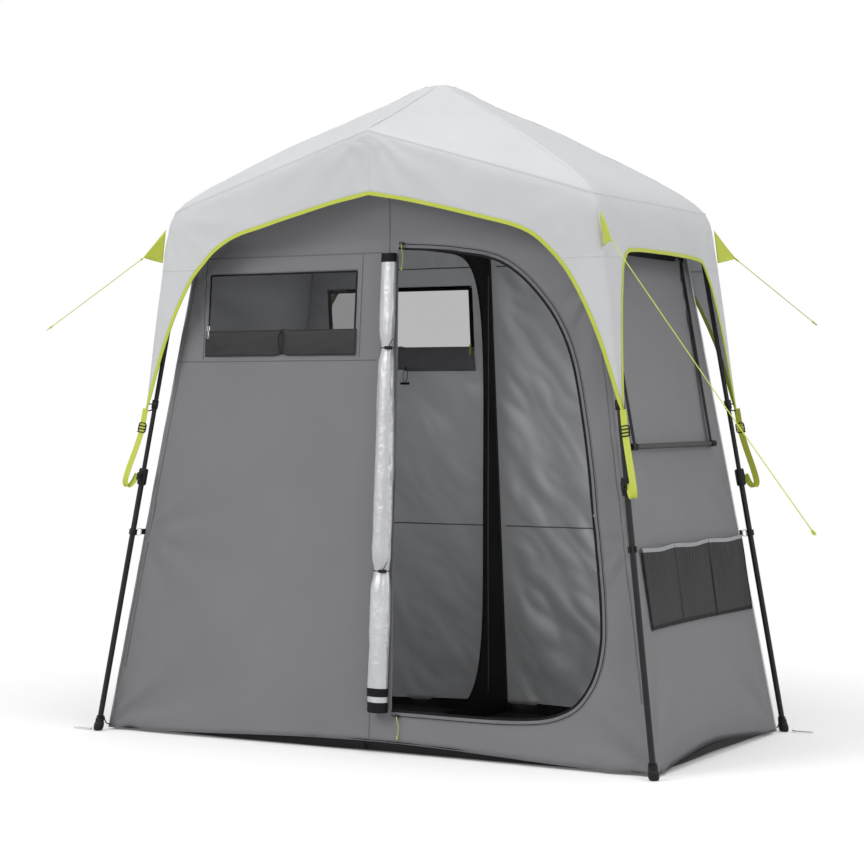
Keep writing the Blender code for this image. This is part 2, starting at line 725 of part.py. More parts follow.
def rail_patch():
    """Webbing band sewn to the right wall, from which the towel rail hangs."""
    def surface(u, v):
        y = mix(-RAIL_HALF_LENGTH, RAIL_HALF_LENGTH, u)
        z = RAIL_PIVOT_Z + FIT_GAP + PATCH_HEIGHT * v
        return Vector((side_out(y, z) + WEBBING / 2 + 2 * FIT_GAP, y, z))
    patch = sheet("rail_patch", surface, 8, 1, WEBBING, BLACK)
    set_origin(patch, rail_pivot())


def rail_strap(name, y):
    """Hanging strap that ends in a loop round the rail."""
    top, bar = rail_pivot(), rail_centre()
    inner, outer = RAIL_RADIUS + FIT_GAP, RAIL_RADIUS + FIT_GAP + WEBBING
    along = (bar - top).normalized()
    across = Vector((along.z, 0, -along.x))
    reach = (bar - top).length
    half = WEBBING / 2
    outline = [(0, half)] + strap_loop(reach, outer, half) + [(0, -half)]

    def place(u, v, w):
        return top + along * u + across * v + Vector((0, y + w, 0))

    width = RAIL_STRAP_WIDTH / 2
    strap = prism(name, outline, -width, width, place, BLACK)
    clear = Vector((0, RAIL_STRAP_WIDTH, 0))
    middle = bar + Vector((0, y, 0))
    combine(strap, rod("bore", middle - clear, middle + clear, inner, BLACK, 20), "DIFFERENCE")
    set_origin(strap, top)


def strap_loop(reach, radius, half):
    """Outline round the loop at a strap's end, from one face of the strap to the other."""
    first = math.pi - math.asin(half / radius)
    turns = [first - i * 2 * first / 20 for i in range(21)]
    return [(reach + radius * math.cos(a), radius * math.sin(a)) for a in turns]


def towel_rail():
    bar = rail_centre()
    reach = Vector((0, RAIL_HALF_LENGTH, 0))
    rail = rod("towel_bar", bar - reach, bar + reach, RAIL_RADIUS, BLACK, 20)
    set_origin(rail, rail_pivot())


def corner_edge(sx, sy, z):
    """Point on the canopy's corner fold."""
    share = (EAVE_Z - z) / (EAVE_Z - TIP_Z)
    eave = Vector((sx * EAVE_HALF_X, sy * EAVE_HALF_Y, EAVE_Z))
    return eave.lerp(Vector((sx * TIP_HALF_X, sy * TIP_HALF_Y, TIP_Z)), share)


def canopy_strap(name, sx, sy):
    """Webbing that pulls a canopy tip down to its leg."""
    tip = corner_edge(sx, sy, TIP_Z)
    down = leg_axis(sx, sy)[1]
    out = Vector((sx, sy, 0)).normalized()
    across = down.cross(out).normalized()
    half = STRAP_WIDTH / 2
    outline = [(-half, 2 * FIT_GAP), (half, 2 * FIT_GAP), (half, STRAP_LENGTH), (-half, STRAP_LENGTH)]
    prism(name, outline, -WEBBING / 2, WEBBING / 2,
          lambda u, v, w: tip + across * u + down * v + out * w, LIME)


def tab_tip(sx, sy):
    out = Vector((sx, sy, 0)).normalized()
    return corner_edge(sx, sy, TAB_Z) + out * TAB_REACH


def guy_tab(name, sx, sy):
    """Sewn triangle of cloth on a canopy corner that holds a guy line."""
    out = Vector((sx, sy, 0)).normalized()
    across = UP.cross(out)
    clear = CLOTH / 2 + FIT_GAP
    high = corner_edge(sx, sy, TAB_Z + TAB_RISE) + out * clear
    low = corner_edge(sx, sy, TAB_Z - TAB_DROP) + out * clear
    tip = tab_tip(sx, sy)
    nose = UP * GUY_RADIUS * 2
    corners = [high, low, tip - nose, tip + nose]
    prism(name, [(0, 0), (1, 0), (2, 0), (3, 0)], -CLOTH / 2, CLOTH / 2,
          lambda u, v, w: corners[u] + across * w, LIME)
    set_origin(bpy.data.objects[name], elbow_point(sx, sy))


def guy_line(name, sx, sy, points):
    """Cord from its tab to where the photograph ends it."""
    start = tab_tip(sx, sy)
    first = (Vector(points[0]) - start).normalized() * (GUY_RADIUS + FIT_GAP)
    route = [start + first] + [Vector(p) for p in points]
    curve = bpy.data.curves.new(name, "CURVE")
    curve.dimensions = "3D"
    curve.bevel_depth = GUY_RADIUS
    curve.bevel_resolution = 2
    curve.use_fill_caps = True
    spline = curve.splines.new("POLY")
    spline.points.add(len(route) - 1)
    for spot, p in zip(spline.points, route):
        spot.co = (*p, 1)
    line = bpy.data.objects.new(name, curve)
    bpy.context.scene.collection.objects.link(line)
    paint(line, LIME)


def zip_slider(name, x, z):
    """Slider that runs along a straight stretch of the door's zip."""
    lean = Vector((0, (WALL_FOOT_Y - WALL_HEAD_Y), WALL_HEAD_Z)).normalized()
    out = Vector((0, -lean.z, lean.y))
    face = Vector((x, -wall_y(z), z)) + out * (CLOTH / 2 + FIT_GAP)
    half, tall = SLIDER_LENGTH / 2, SLIDER_WIDTH / 2
    outline = [(-half, -tall * 0.6), (-half * 0.5, -tall), (half, -tall * 0.7),
               (half, tall * 0.7), (-half * 0.5, tall), (-half, tall * 0.6)]
    slider = prism(name, outline, 0, SLIDER_DEPTH,
                   lambda u, v, w: face + Vector((u, 0, 0)) + lean * v + out * w, BLACK)
    set_origin(slider, face)


def build():
    for obj in list(bpy.data.objects):
        bpy.data.objects.remove(obj)
    centre_hub()
    for side, sy in (("front", -1), ("back", 1)):
        gable_hub(side + "_hub", sy)
        ridge_pole("ridge_pole_" + side, sy)
    for corner, (sx, sy) in CORNERS.items():
        roof_pole("roof_pole_" + corner, sx, sy)
        elbow("elbow_" + corner, sx, sy)
        upper_leg("upper_leg_" + corner, sx, sy)
        lower_leg("lower_leg_" + corner, sx, sy)
        leg_lock("leg_lock_" + corner, sx, sy)
        lock_button("lock_button_" + corner, sx, sy)
        foot("foot_" + corner, sx, sy)
        canopy_strap("canopy_strap_" + corner, sx, sy)
        guy_tab("guy_tab_" + corner, sx, sy)
    canopy()
    front_walls()
    back_wall()
    side_wall("left_wall", -1)
    side_wall("right_wall", 1)
    groundsheet()
    divider()
    door_roll()
    mesh_organizer()
    rail_patch()
    towel_rail()
    rail_strap("rail_strap_front", -RAIL_STRAP_Y)
    rail_strap("rail_strap_back", RAIL_STRAP_Y)
    zip_slider("zip_slider_lower", LOWER_SLIDER_X, DOOR_FOOT - SLIDER_LIFT)
    zip_slider("zip_slider_upper", UPPER_SLIDER_X, DOOR_TOP + SLIDER_LIFT)
    guy_line("guy_line_front_left", -1, -1, [(-1.020, -0.632, 1.541), (-1.153, -0.743, 1.409)])
    guy_line("guy_line_front_right", 1, -1, [(1.220, -0.832, 1.387), (1.560, -1.149, 1.095), (1.896, -1.486, 0.826)])
    guy_line("guy_line_back_right", 1, 1, [(1.010, 0.622, 1.552), (1.131, 0.721, 1.432)])


build()
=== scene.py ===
"""Looks of the two-room privacy shower tent: cloth, trim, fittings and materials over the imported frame."""
import math

import bmesh
import bpy
import numpy as np
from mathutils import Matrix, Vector, noise


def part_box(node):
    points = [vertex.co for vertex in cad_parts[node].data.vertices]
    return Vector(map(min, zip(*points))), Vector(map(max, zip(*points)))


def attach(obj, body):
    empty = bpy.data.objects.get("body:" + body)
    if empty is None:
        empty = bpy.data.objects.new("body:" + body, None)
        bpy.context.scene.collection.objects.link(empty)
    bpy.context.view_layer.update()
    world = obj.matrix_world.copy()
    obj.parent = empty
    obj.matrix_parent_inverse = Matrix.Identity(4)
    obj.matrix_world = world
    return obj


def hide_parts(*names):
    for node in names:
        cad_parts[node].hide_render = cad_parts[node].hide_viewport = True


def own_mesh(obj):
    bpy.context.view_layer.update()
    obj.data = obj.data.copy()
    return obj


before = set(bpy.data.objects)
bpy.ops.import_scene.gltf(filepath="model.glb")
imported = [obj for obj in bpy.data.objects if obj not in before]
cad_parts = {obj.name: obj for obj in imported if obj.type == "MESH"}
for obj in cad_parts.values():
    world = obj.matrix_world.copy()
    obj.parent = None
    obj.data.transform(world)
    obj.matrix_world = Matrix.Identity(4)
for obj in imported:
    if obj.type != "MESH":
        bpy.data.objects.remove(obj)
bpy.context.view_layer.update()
scene = bpy.context.scene


# Camera
# Fitted to the photograph: a long lens from the right of the front, almost level, 7.8 m away, so that the tent and
# its guy lines fill the square frame.
CAMERA_YAW = math.radians(29.08)
CAMERA_PITCH = math.radians(0.82)
CAMERA_DISTANCE = 7.797
CAMERA_TARGET = Vector((-0.034, 0.0, 1.053))
CAMERA_LENS, CAMERA_SENSOR = 92.07, 36.0

camera = bpy.data.objects.new("camera", bpy.data.cameras.new("camera"))
scene.collection.objects.link(camera)
camera.data.lens = CAMERA_LENS
camera.data.sensor_width = CAMERA_SENSOR
camera_back = Vector((math.sin(CAMERA_YAW) * math.cos(CAMERA_PITCH), -math.cos(CAMERA_YAW) * math.cos(CAMERA_PITCH),
                      math.sin(CAMERA_PITCH)))
camera.location = CAMERA_TARGET + CAMERA_DISTANCE * camera_back
camera.rotation_euler = camera_back.to_track_quat("Z", "Y").to_euler()
scene.camera = camera
scene.view_settings.view_transform = "Standard"


# Studio
# A white room: soft light all round, a broad key lamp from the front left, a fill and a top lamp.
# The pale floor keeps the tent's shadow and fades into the white room away from it.
ROOM_LIGHT = 0.50
FLOOR_HALF, FLOOR_Z = 6, -0.002
FADE_START, FADE_END = 1.25, 2.6


def srgb(code):
    """Linear colour of an sRGB hex code."""
    parts = [int(code[i:i + 2], 16) / 255 for i in (0, 2, 4)]
    return tuple(c / 12.92 if c <= 0.04045 else ((c + 0.055) / 1.055) ** 2.4 for c in parts) + (1.0,)


def add_node(tree, kind, inputs=None, feeds=None, out=0, **settings):
    """A shader node with its settings, its constant or linked inputs, and the socket that it feeds."""
    made = tree.nodes.new(kind)
    for key, value in settings.items():
        setattr(made, key, value)
    for key, value in (inputs or {}).items():
        if isinstance(value, bpy.types.NodeSocket):
            tree.links.new(value, made.inputs[key])
        else:
            made.inputs[key].default_value = value
    if feeds:
        tree.links.new(made.outputs[out], feeds)
    return made


def add_lamp(name, place, aim, size, power):
    """A square area lamp at a place, turned to its aim."""
    lamp = bpy.data.lights.new(name, "AREA")
    lamp.size = size
    lamp.energy = power
    obj = bpy.data.objects.new(name, lamp)
    obj.location = place
    obj.rotation_euler = (Vector(place) - Vector(aim)).to_track_quat("Z", "Y").to_euler()
    scene.collection.objects.link(obj)


room = bpy.data.worlds.new("white_room")
scene.world = room
room.use_nodes = True
background = room.node_tree.nodes["Background"]
background.inputs["Color"].default_value = (1, 1, 1, 1)
path = add_node(room.node_tree, "ShaderNodeLightPath")
mirrored = add_node(room.node_tree, "ShaderNodeMath", {0: path.outputs["Is Glossy Ray"],
                                                       1: path.outputs["Is Transmission Ray"]}, operation="ADD")
looked_at = add_node(room.node_tree, "ShaderNodeMath", {0: path.outputs["Is Camera Ray"], 1: mirrored.outputs[0]},
                     operation="ADD", use_clamp=True)
add_node(room.node_tree, "ShaderNodeMath", {0: looked_at.outputs[0], 1: 1 - ROOM_LIGHT, 2: ROOM_LIGHT},
         background.inputs["Strength"], operation="MULTIPLY_ADD")
add_lamp("key", (-3.0, -6.0, 5.0), (0, 0, 1.1), 3.5, 255)
add_lamp("fill", (6.5, -2.0, 4.0), (0, 0, 1.2), 4.0, 136)
add_lamp("top", (1.0, -0.5, 6.5), (0, 0, 1.0), 4.0, 95)

floor_mesh = bpy.data.meshes.new("floor")
floor_mesh.from_pydata([(x * FLOOR_HALF, y * FLOOR_HALF, FLOOR_Z) for x, y in ((-1, -1), (1, -1), (1, 1), (-1, 1))], [],
                       [(0, 1, 2, 3)])
floor = bpy.data.objects.new("floor", floor_mesh)
scene.collection.objects.link(floor)
floor_paint = bpy.data.materials.new("floor_paint")
floor_paint.use_nodes = True
floor_tree = floor_paint.node_tree
floor_shader = floor_tree.nodes["Principled BSDF"]
floor_shader.inputs["Base Color"].default_value = srgb("FAFAFA")
floor_shader.inputs["Roughness"].default_value = 0.9
floor_shader.inputs["Emission Color"].default_value = (1, 1, 1, 1)
floor_path = add_node(floor_tree, "ShaderNodeLightPath")
add_node(floor_tree, "ShaderNodeMath", {0: floor_path.outputs["Is Camera Ray"], 1: 0.12},
         floor_shader.inputs["Emission Strength"], operation="MULTIPLY")
floor_place = add_node(floor_tree, "ShaderNodeTexCoord").outputs["Object"]
floor_reach = add_node(floor_tree, "ShaderNodeVectorMath", {0: floor_place}, operation="LENGTH")
floor_fade = add_node(floor_tree, "ShaderNodeMapRange", {0: floor_reach.outputs["Value"], 1: FADE_START, 2: FADE_END},
                      interpolation_type="SMOOTHSTEP")
add_node(floor_tree, "ShaderNodeMixShader", {0: floor_fade.outputs[0],
                                             1: floor_shader.outputs[0],
                                             2: add_node(floor_tree, "ShaderNodeBsdfTransparent").outputs[0]},
         floor_tree.nodes["Material Output"].inputs["Surface"])
floor_mesh.materials.append(floor_paint)


# Steel frame
# Powder-coated steel tubes with moulded hubs, elbows, locks and feet: the CAD poles and legs, edges eased.
# They hinge at the hubs and elbows, and the legs telescope in their locks.
CORNERS = {"front_left": (-1, -1), "front_right": (1, -1), "back_left": (-1, 1), "back_right": (1, 1)}


def start_material(name, roughness, gloss=0.5):
    """A Principled material with its tree, its shader and the place on the piece in metres."""
    material = bpy.data.materials.new(name)
    material.use_nodes = True
    tree = material.node_tree
    shader = tree.nodes["Principled BSDF"]
    shader.inputs["Roughness"].default_value = roughness
    shader.inputs["Specular IOR Level"].default_value = gloss
    return material, tree, shader, add_node(tree, "ShaderNodeTexCoord").outputs["Object"]


def powder_coat():
    """Baked powder on steel tube: a satin black skin with a fine orange-peel that breaks up its highlights.

    The peel is 1.5 mm across, and handling has changed the tone in patches of about 33 mm.
    """
    material, tree, shader, place = start_material("powder_coated_steel", 0.38, 0.28)
    handled = add_node(tree, "ShaderNodeTexNoise", {"Vector": place, "Scale": 30.0, "Detail": 4.0})
    add_node(tree, "ShaderNodeMix", {0: handled.outputs["Fac"], 6: srgb("0E0E10"), 7: srgb("1E1E20")},
             shader.inputs["Base Color"], 2, data_type="RGBA")
    peel = add_node(tree, "ShaderNodeTexNoise", {"Vector": place, "Scale": 1 / 0.0015, "Detail": 2.0})
    add_node(tree, "ShaderNodeBump", {"Height": peel.outputs["Fac"], "Distance": 0.0003, "Strength": 0.4},
             shader.inputs["Normal"])
    return material


def moulded_nylon():
    """Glass-filled nylon from a spark-eroded mould: dull black with a fine pebble grain.

    The grain is 0.8 mm, and the flow of the melt shows as patches of about 22 mm.
    """
    material, tree, shader, place = start_material("moulded_nylon", 0.5, 0.22)
    flow = add_node(tree, "ShaderNodeTexNoise", {"Vector": place, "Scale": 45.0, "Detail": 3.0})
    add_node(tree, "ShaderNodeMix", {0: flow.outputs["Fac"], 6: srgb("0E0E10"), 7: srgb("1B1B1D")},
             shader.inputs["Base Color"], 2, data_type="RGBA")
    grain = add_node(tree, "ShaderNodeTexVoronoi", {"Vector": place, "Scale": 1 / 0.0008})
    add_node(tree, "ShaderNodeBump", {"Height": grain.outputs["Distance"], "Distance": 0.0002, "Strength": 0.35},
             shader.inputs["Normal"])
    return material


def ease_edges(obj, width):
    """Rounds a hard piece's edges by a fine bevel."""
    bevel = obj.modifiers.new("ease", "BEVEL")
    bevel.width = width
    bevel.segments = 2
    bevel.angle_limit = math.radians(40)
    bevel.harden_normals = True


def dress(node_name, material, width):
    """A hard CAD node shown as it is, with eased edges and smooth round faces."""
    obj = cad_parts[node_name]
    obj.data.materials.clear()
    obj.data.materials.append(material)
    work = bmesh.new()
    work.from_mesh(obj.data)
    for face in work.faces:
        face.smooth = True
    for edge in work.edges:
        edge.smooth = len(edge.link_faces) == 2 and edge.calc_face_angle() < math.radians(34)
    work.to_mesh(obj.data)
    work.free()
    ease_edges(obj, width)


steel = powder_coat()
nylon = moulded_nylon()
for corner in CORNERS:
    for kind in ("roof_pole_", "upper_leg_", "lower_leg_"):
        dress(kind + corner, steel, 0.0006)
    for kind in ("elbow_", "leg_lock_", "lock_button_", "foot_"):
        dress(kind + corner, nylon, 0.001)
for name in ("ridge_pole_front", "ridge_pole_back"):
    dress(name, steel, 0.0006)
for name in ("centre_hub", "front_hub", "back_hub"):
    dress(name, nylon, 0.001)


# Canopy
# One sewn sheet of coated polyester stretched over the hubs and roof poles, rounded at its peak and corners.
# Its skirt hangs straight, and the lower edge rises between the four corner tips that strap down to the legs.
PEAK_Z = 2.270
GABLE_PEAK = (0.512, 2.062)
EAVE = (0.835, 0.487, 1.830)
TIP = (0.921, 0.487, 1.120)
GABLE_BELLY = 0.007
ROOF_CROWN = 0.022
PEAK_ROUND = 0.10
SHOULDER = 0.052
CANOPY_CLOTH = 0.0012
ROOF_ROWS, SKIRT_ROWS = 26, 16
FRONT_EDGE = [(0.0, 1.848), (0.17, 1.816), (0.40, 1.760), (0.57, 1.712), (0.665, 1.645), (0.75, 1.54), (0.838, 1.36)]
SIDE_EDGE = [(0.0, 1.650), (0.25, 1.646), (0.338, 1.622), (0.389, 1.515), (0.438, 1.340)]
WAVE_PERIOD = 0.314  # metres between the bands of a wave texture at scale 1


def mix(a, b, share):
    """Value or point at a share of the way from a to b."""
    return a + (b - a) * share


def smooth_line(points, steps):
    """Catmull-Rom points through a line of points, with steps pieces between two of them."""
    points = [Vector(p) for p in points]
    ends = [2 * points[0] - points[1]] + points + [2 * points[-1] - points[-2]]
    line = []
    for a, b, c, d in zip(ends, ends[1:], ends[2:], ends[3:]):
        for i in range(steps):
            t = i / steps
            line.append(0.5 * (2 * b + (c - a) * t + (2 * a - 5 * b + 4 * c - d) * t ** 2
                               + (3 * b - a - 3 * c + d) * t ** 3))
    return line + [points[-1]]


def woven_cloth(name, dark, light, roughness, pitch_mm, crease_mm, metal=0.0, through=0.0, gloss=0.5):
    """Coated plain-weave polyester: slow tone change, small creases, threads, a soft sheen and light let through.

    Threads of 0.3 mm are too fine to show from here, so each cloth names a coarser pitch for them. The tone changes
    over about 0.3 m, and the small creases are 45 mm apart.
    """
    material, tree, shader, place = start_material(name, roughness, gloss)
    shader.inputs["Metallic"].default_value = metal
    shader.inputs["Sheen Weight"].default_value = 0.2 * gloss
    shader.inputs["Sheen Roughness"].default_value = 0.4
    tone = add_node(tree, "ShaderNodeTexNoise", {"Vector": place, "Scale": 3.5, "Detail": 6.0, "Roughness": 0.6})
    add_node(tree, "ShaderNodeMix", {0: tone.outputs["Fac"], 6: srgb(dark), 7: srgb(light)},
             shader.inputs["Base Color"], 2, data_type="RGBA")
    crumple = add_node(tree, "ShaderNodeTexNoise", {"Vector": place, "Scale": 1 / 0.045, "Detail": 5.0,
                                                    "Distortion": 0.6})
    creased = add_node(tree, "ShaderNodeBump", {"Height": crumple.outputs["Fac"], "Distance": crease_mm / 1000,
                                                "Strength": 0.55})
    bands = [add_node(tree, "ShaderNodeTexWave", {"Vector": place, "Scale": WAVE_PERIOD / (pitch_mm / 1000)},
                      bands_direction=axis).outputs["Fac"] for axis in ("X", "Y", "Z")]
    pair = add_node(tree, "ShaderNodeMath", {0: bands[0], 1: bands[1]}, operation="ADD")
    threads = add_node(tree, "ShaderNodeMath", {0: pair.outputs[0], 1: bands[2]}, operation="ADD")
    add_node(tree, "ShaderNodeBump", {"Height": threads.outputs[0], "Distance": 0.0001, "Strength": 0.4,
                                      "Normal": creased.outputs["Normal"]}, shader.inputs["Normal"])
    if through:
        lit = add_node(tree, "ShaderNodeBsdfTranslucent", {"Color": srgb("E6E7E8")})
        add_node(tree, "ShaderNodeMixShader", {0: through, 1: shader.outputs[0], 2: lit.outputs[0]},
                 tree.nodes["Material Output"].inputs["Surface"])
    return material


def new_piece(name, verts, faces, materials, slots=None, smooth=True):
    """A mesh piece with its materials."""
    mesh = bpy.data.meshes.new(name)
    mesh.from_pydata([tuple(v) for v in verts], [], faces)
    for material in materials:
        mesh.materials.append(material)
    if slots:
        mesh.polygons.foreach_set("material_index", slots)
    mesh.polygons.foreach_set("use_smooth", [smooth] * len(mesh.polygons))
    mesh.update()
    obj = bpy.data.objects.new(name, mesh)
    scene.collection.objects.link(obj)
    return obj


def thicken(name, verts, faces, thickness, outside, inside):
    """A closed cloth piece from an open surface, with one material on each face."""
    faces = [(f[0], f[i], f[i + 1]) for f in faces for i in range(1, len(f) - 1)]
    points = np.array([tuple(v) for v in verts])
    normals = np.zeros_like(points)
    used = set()
    for a, b, c in faces:
        normals[[a, b, c]] += np.cross(points[b] - points[a], points[c] - points[a])
        used |= {(a, b), (b, c), (c, a)}
    normals /= np.linalg.norm(normals, axis=1)[:, None] + 1e-12
    count = len(points)
    both = np.vstack([points + normals * thickness / 2, points - normals * thickness / 2])
    rim = sorted((i, j) for i, j in used if (j, i) not in used)
    solid = list(faces) + [tuple(count + i for i in reversed(f)) for f in faces]
    solid += [(j, i, count + i, count + j) for i, j in rim]
    slots = [0] * len(faces) + [1] * len(faces) + [0] * len(rim)
    return new_piece(name, both, solid, [outside, inside], slots)


def grid_faces(columns, rows):
    """Faces of a grid whose points run along each row in turn."""
    step = columns + 1
    return [(k * step + i, k * step + i + 1, (k + 1) * step + i + 1, (k + 1) * step + i)
            for k in range(rows) for i in range(columns)]


def draw_in(obj):
    """Gives a piece its own copy of its mesh."""
    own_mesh(obj)


def fold_with_frame(obj):
    """A piece of the cloth, or sewn or tied to it: on the tent body, with its own copy of its mesh."""
    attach(obj, "tent")
    draw_in(obj)
    return obj


def ripple(point, scale, seed):
    """Smooth noise from -1 to 1."""
    return noise.noise(point * scale + Vector((seed, seed * 1.7, seed * 0.3)))


def canopy_quarter(sx, sy):
    """Pairs of eave and lower-edge points, from the gable's middle round the corner to the side's middle."""
    pairs = []
    front = smooth_line([(x, 0, z) for x, z in FRONT_EDGE] + [(TIP[0], 0, TIP[2])], 5)
    side = smooth_line([(0, y, z) for y, z in SIDE_EDGE] + [(0, TIP[1], TIP[2])], 5)
    for p in front:
        share = p.x / TIP[0]
        drop = (EAVE[2] - p.z) / (EAVE[2] - TIP[2])
        low_y = mix(EAVE[1], TIP[1], drop) + GABLE_BELLY * (1 - share ** 2)
        pairs.append(((share * EAVE[0], mix(GABLE_PEAK[0], EAVE[1], share), mix(GABLE_PEAK[1], EAVE[2], share)),
                      (p.x, low_y, p.z)))
    for p in reversed(side[:-1]):
        share = p.y / TIP[1]
        drop = (EAVE[2] - p.z) / (EAVE[2] - TIP[2])
        pairs.append(((EAVE[0], share * EAVE[1], EAVE[2]), (mix(EAVE[0], TIP[0], drop), p.y, p.z)))
    return [[Vector((sx * q[0], sy * q[1], q[2])) for q in pair] for pair in pairs]


def canopy_ring():
    """Eave and lower-edge points once round, with the eave rounded at its corners."""
    pairs = canopy_quarter(1, -1) + canopy_quarter(1, 1)[-2::-1]
    pairs += canopy_quarter(-1, 1)[1:] + canopy_quarter(-1, -1)[-2:0:-1]
    eaves = [eave for eave, low in pairs]
    for turn in range(14):
        eaves = [(eaves[i - 1] + 2 * eave + eaves[(i + 1) % len(eaves)]) / 4 if abs(eave.x) > 0.66 else eave
                 for i, eave in enumerate(eaves)]
    return [(eave, low) for eave, (old, low) in zip(eaves, pairs)]


ring = canopy_ring()
ring_count = len(ring)
peak = Vector((0, 0, PEAK_Z))


def shoulder(eave, low, far):
    """Shift that rounds the cloth over the eave, at a distance along the sheet from it; less at the gables' peaks."""
    inward = ((peak - eave).normalized() + (low - eave).normalized()) / 2
    reach = SHOULDER * (0.25 + 0.75 * abs(eave.x) / EAVE[0])
    return inward * reach * math.exp(-far / reach)


def roof_point(eave, low, share):
    """Point on the roof between the peak and a point of the eave: crowned, and rounded over the hub and eave."""
    point = peak.lerp(eave, share) + shoulder(eave, low, (1 - share) * (eave - peak).length)
    point.z += ROOF_CROWN * math.sin(math.pi * share) * abs(eave.x) / EAVE[0]
    point.z += 0.8 * (PEAK_Z - eave.z) * share * math.exp(-(share / PEAK_ROUND) ** 2)
    point.z += 0.006 * ripple(point, 5.0, 2.0) * math.sin(math.pi * share)
    point.z += 0.004 * ripple(Vector((point.x, point.y * 1.6, 0)), 15.0, 6.0) * share * (1 - share) ** 0.3
    return point


def strain(point, anchor, count, reach):
    """Height of the creases that fan out from where the frame holds the cloth, from -1 to 1."""
    away = point - anchor
    angle = math.atan2(away.z, abs(away.x) + abs(away.y))
    fan = math.sin(count * angle + 3 * ripple(point, 5.0, 1.0))
    return math.exp(-away.length / reach) * min(1, away.length / 0.05) * fan


def skirt_point(eave, low, share):
    """Point on the hanging skirt: creases from the frame's points, and slow waves that grow towards its lower edge."""
    point = eave.lerp(low, share) + shoulder(eave, low, share * (low - eave).length)
    away = Vector((point.x * 0.6, point.y * 1.6, 0)).normalized()
    wave = 0.006 * ripple(Vector((point.x * 3, point.y * 3, point.z * 1.2)), 3.0, 5.0)
    wave *= math.sin(math.pi * share * 0.5)
    pucker = 0.0040 * ripple(Vector((point.x * 2.6, point.y * 4, point.z * 0.7)), 11.0, 8.0)
    pucker *= math.exp(-share / 0.35)
    hub = Vector((0, math.copysign(GABLE_PEAK[0], point.y), GABLE_PEAK[1]))
    elbow = Vector((math.copysign(EAVE[0], point.x), math.copysign(EAVE[1], point.y), EAVE[2]))
    drawn = 0.0035 * strain(point, hub, 17, 0.40) + 0.0040 * strain(point, elbow, 15, 0.22)
    return point + away * (wave + (pucker + drawn) * math.sin(math.pi * min(1, share * 4) / 2))


canopy_verts = [peak]
for k in range(1, ROOF_ROWS + 1):
    along = k / ROOF_ROWS
    canopy_verts += [roof_point(eave, low, along * along * (3 - 2 * along)) for eave, low in ring]
for k in range(1, SKIRT_ROWS + 1):
    canopy_verts += [skirt_point(eave, low, (k / SKIRT_ROWS) ** 1.5) for eave, low in ring]
canopy_faces = [(0, 1 + i, 1 + (i + 1) % ring_count) for i in range(ring_count)]
for k in range(ROOF_ROWS + SKIRT_ROWS - 1):
    high, low = 1 + k * ring_count, 1 + (k + 1) * ring_count
    canopy_faces += [(high + i, low + i, low + (i + 1) % ring_count, high + (i + 1) % ring_count)
                     for i in range(ring_count)]
# Pale coated polyester: matt, softly creased, and bright where the sky shines through. Its lining is a shade darker.
canopy_cloth = woven_cloth("canopy_polyester", "D8DADC", "E6E7E9", 0.62, 2.5, 3.0, through=0.30)
canopy_lining = woven_cloth("canopy_lining", "CED0D2", "DEE0E2", 0.5, 2.5, 1.0, through=0.30)
canopy = thicken("canopy_sheet", canopy_verts, canopy_faces, CANOPY_CLOTH, canopy_cloth, canopy_lining)
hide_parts("canopy")
fold_with_frame(canopy)


# Canopy binding and seams
# Lime grosgrain folded over the lower edge, and flat-felled seams along the eaves, the hips, the middle of each
# gable and the reinforced corners. All are sewn to the sheet.
BINDING_WIDTH, BINDING_THICKNESS = 0.0125, 0.0034
SEAM_WIDTH, SEAM_THICKNESS = 0.006, 0.0010
SEAM_LIFT = 0.0012
CORNER_PATCH_Z = 1.620


def tape(points, sides, width, thickness, closed=False):
    """Verts and faces of a flat tape along points; sides are the directions across its width."""
    verts, faces = [], []
    count = len(points)
    for i, (point, side) in enumerate(zip(points, sides)):
        ahead = points[(i + 1) % count if closed else min(i + 1, count - 1)]
        behind = points[i - 1 if closed or i else 0]
        along = (ahead - behind).normalized()
        side = (Vector(side) - along * along.dot(Vector(side))).normalized()
        face = along.cross(side)
        for a, b in ((-1, -1), (1, -1), (1, 1), (-1, 1)):
            verts.append(point + side * a * width / 2 + face * b * thickness / 2)
    for i in range(count if closed else count - 1):
        here, there = 4 * i, 4 * ((i + 1) % count)
        faces += [(here + k, here + (k + 1) % 4, there + (k + 1) % 4, there + k) for k in range(4)]
    if not closed:
        faces += [(3, 2, 1, 0), tuple(4 * (count - 1) + k for k in range(4))]
    return verts, faces


def gather(parts):
    """Verts and faces of several shapes as one."""
    verts, faces = [], []
    for more_verts, more_faces in parts:
        start = len(verts)
        verts += more_verts
        faces += [tuple(start + i for i in f) for f in more_faces]
    return verts, faces


def soft_piece(name, shape, material, smooth=False):
    """A piece sewn or tied to the cloth, from its verts and faces."""
    return fold_with_frame(new_piece(name, *shape, [material], smooth=smooth))


def seam_along(points):
    """A flat seam that lies on the canopy along points."""
    raised, sides = [], []
    for i, point in enumerate(points):
        along = (points[min(i + 1, len(points) - 1)] - points[max(i - 1, 0)]).normalized()
        away = Vector((point.x * 0.6, point.y * 1.4, 0.7 if point.z > EAVE[2] + 0.01 else 0)).normalized()
        raised.append(point + away * SEAM_LIFT)
        sides.append(along.cross(away))
    return tape(raised, sides, SEAM_WIDTH, SEAM_THICKNESS)


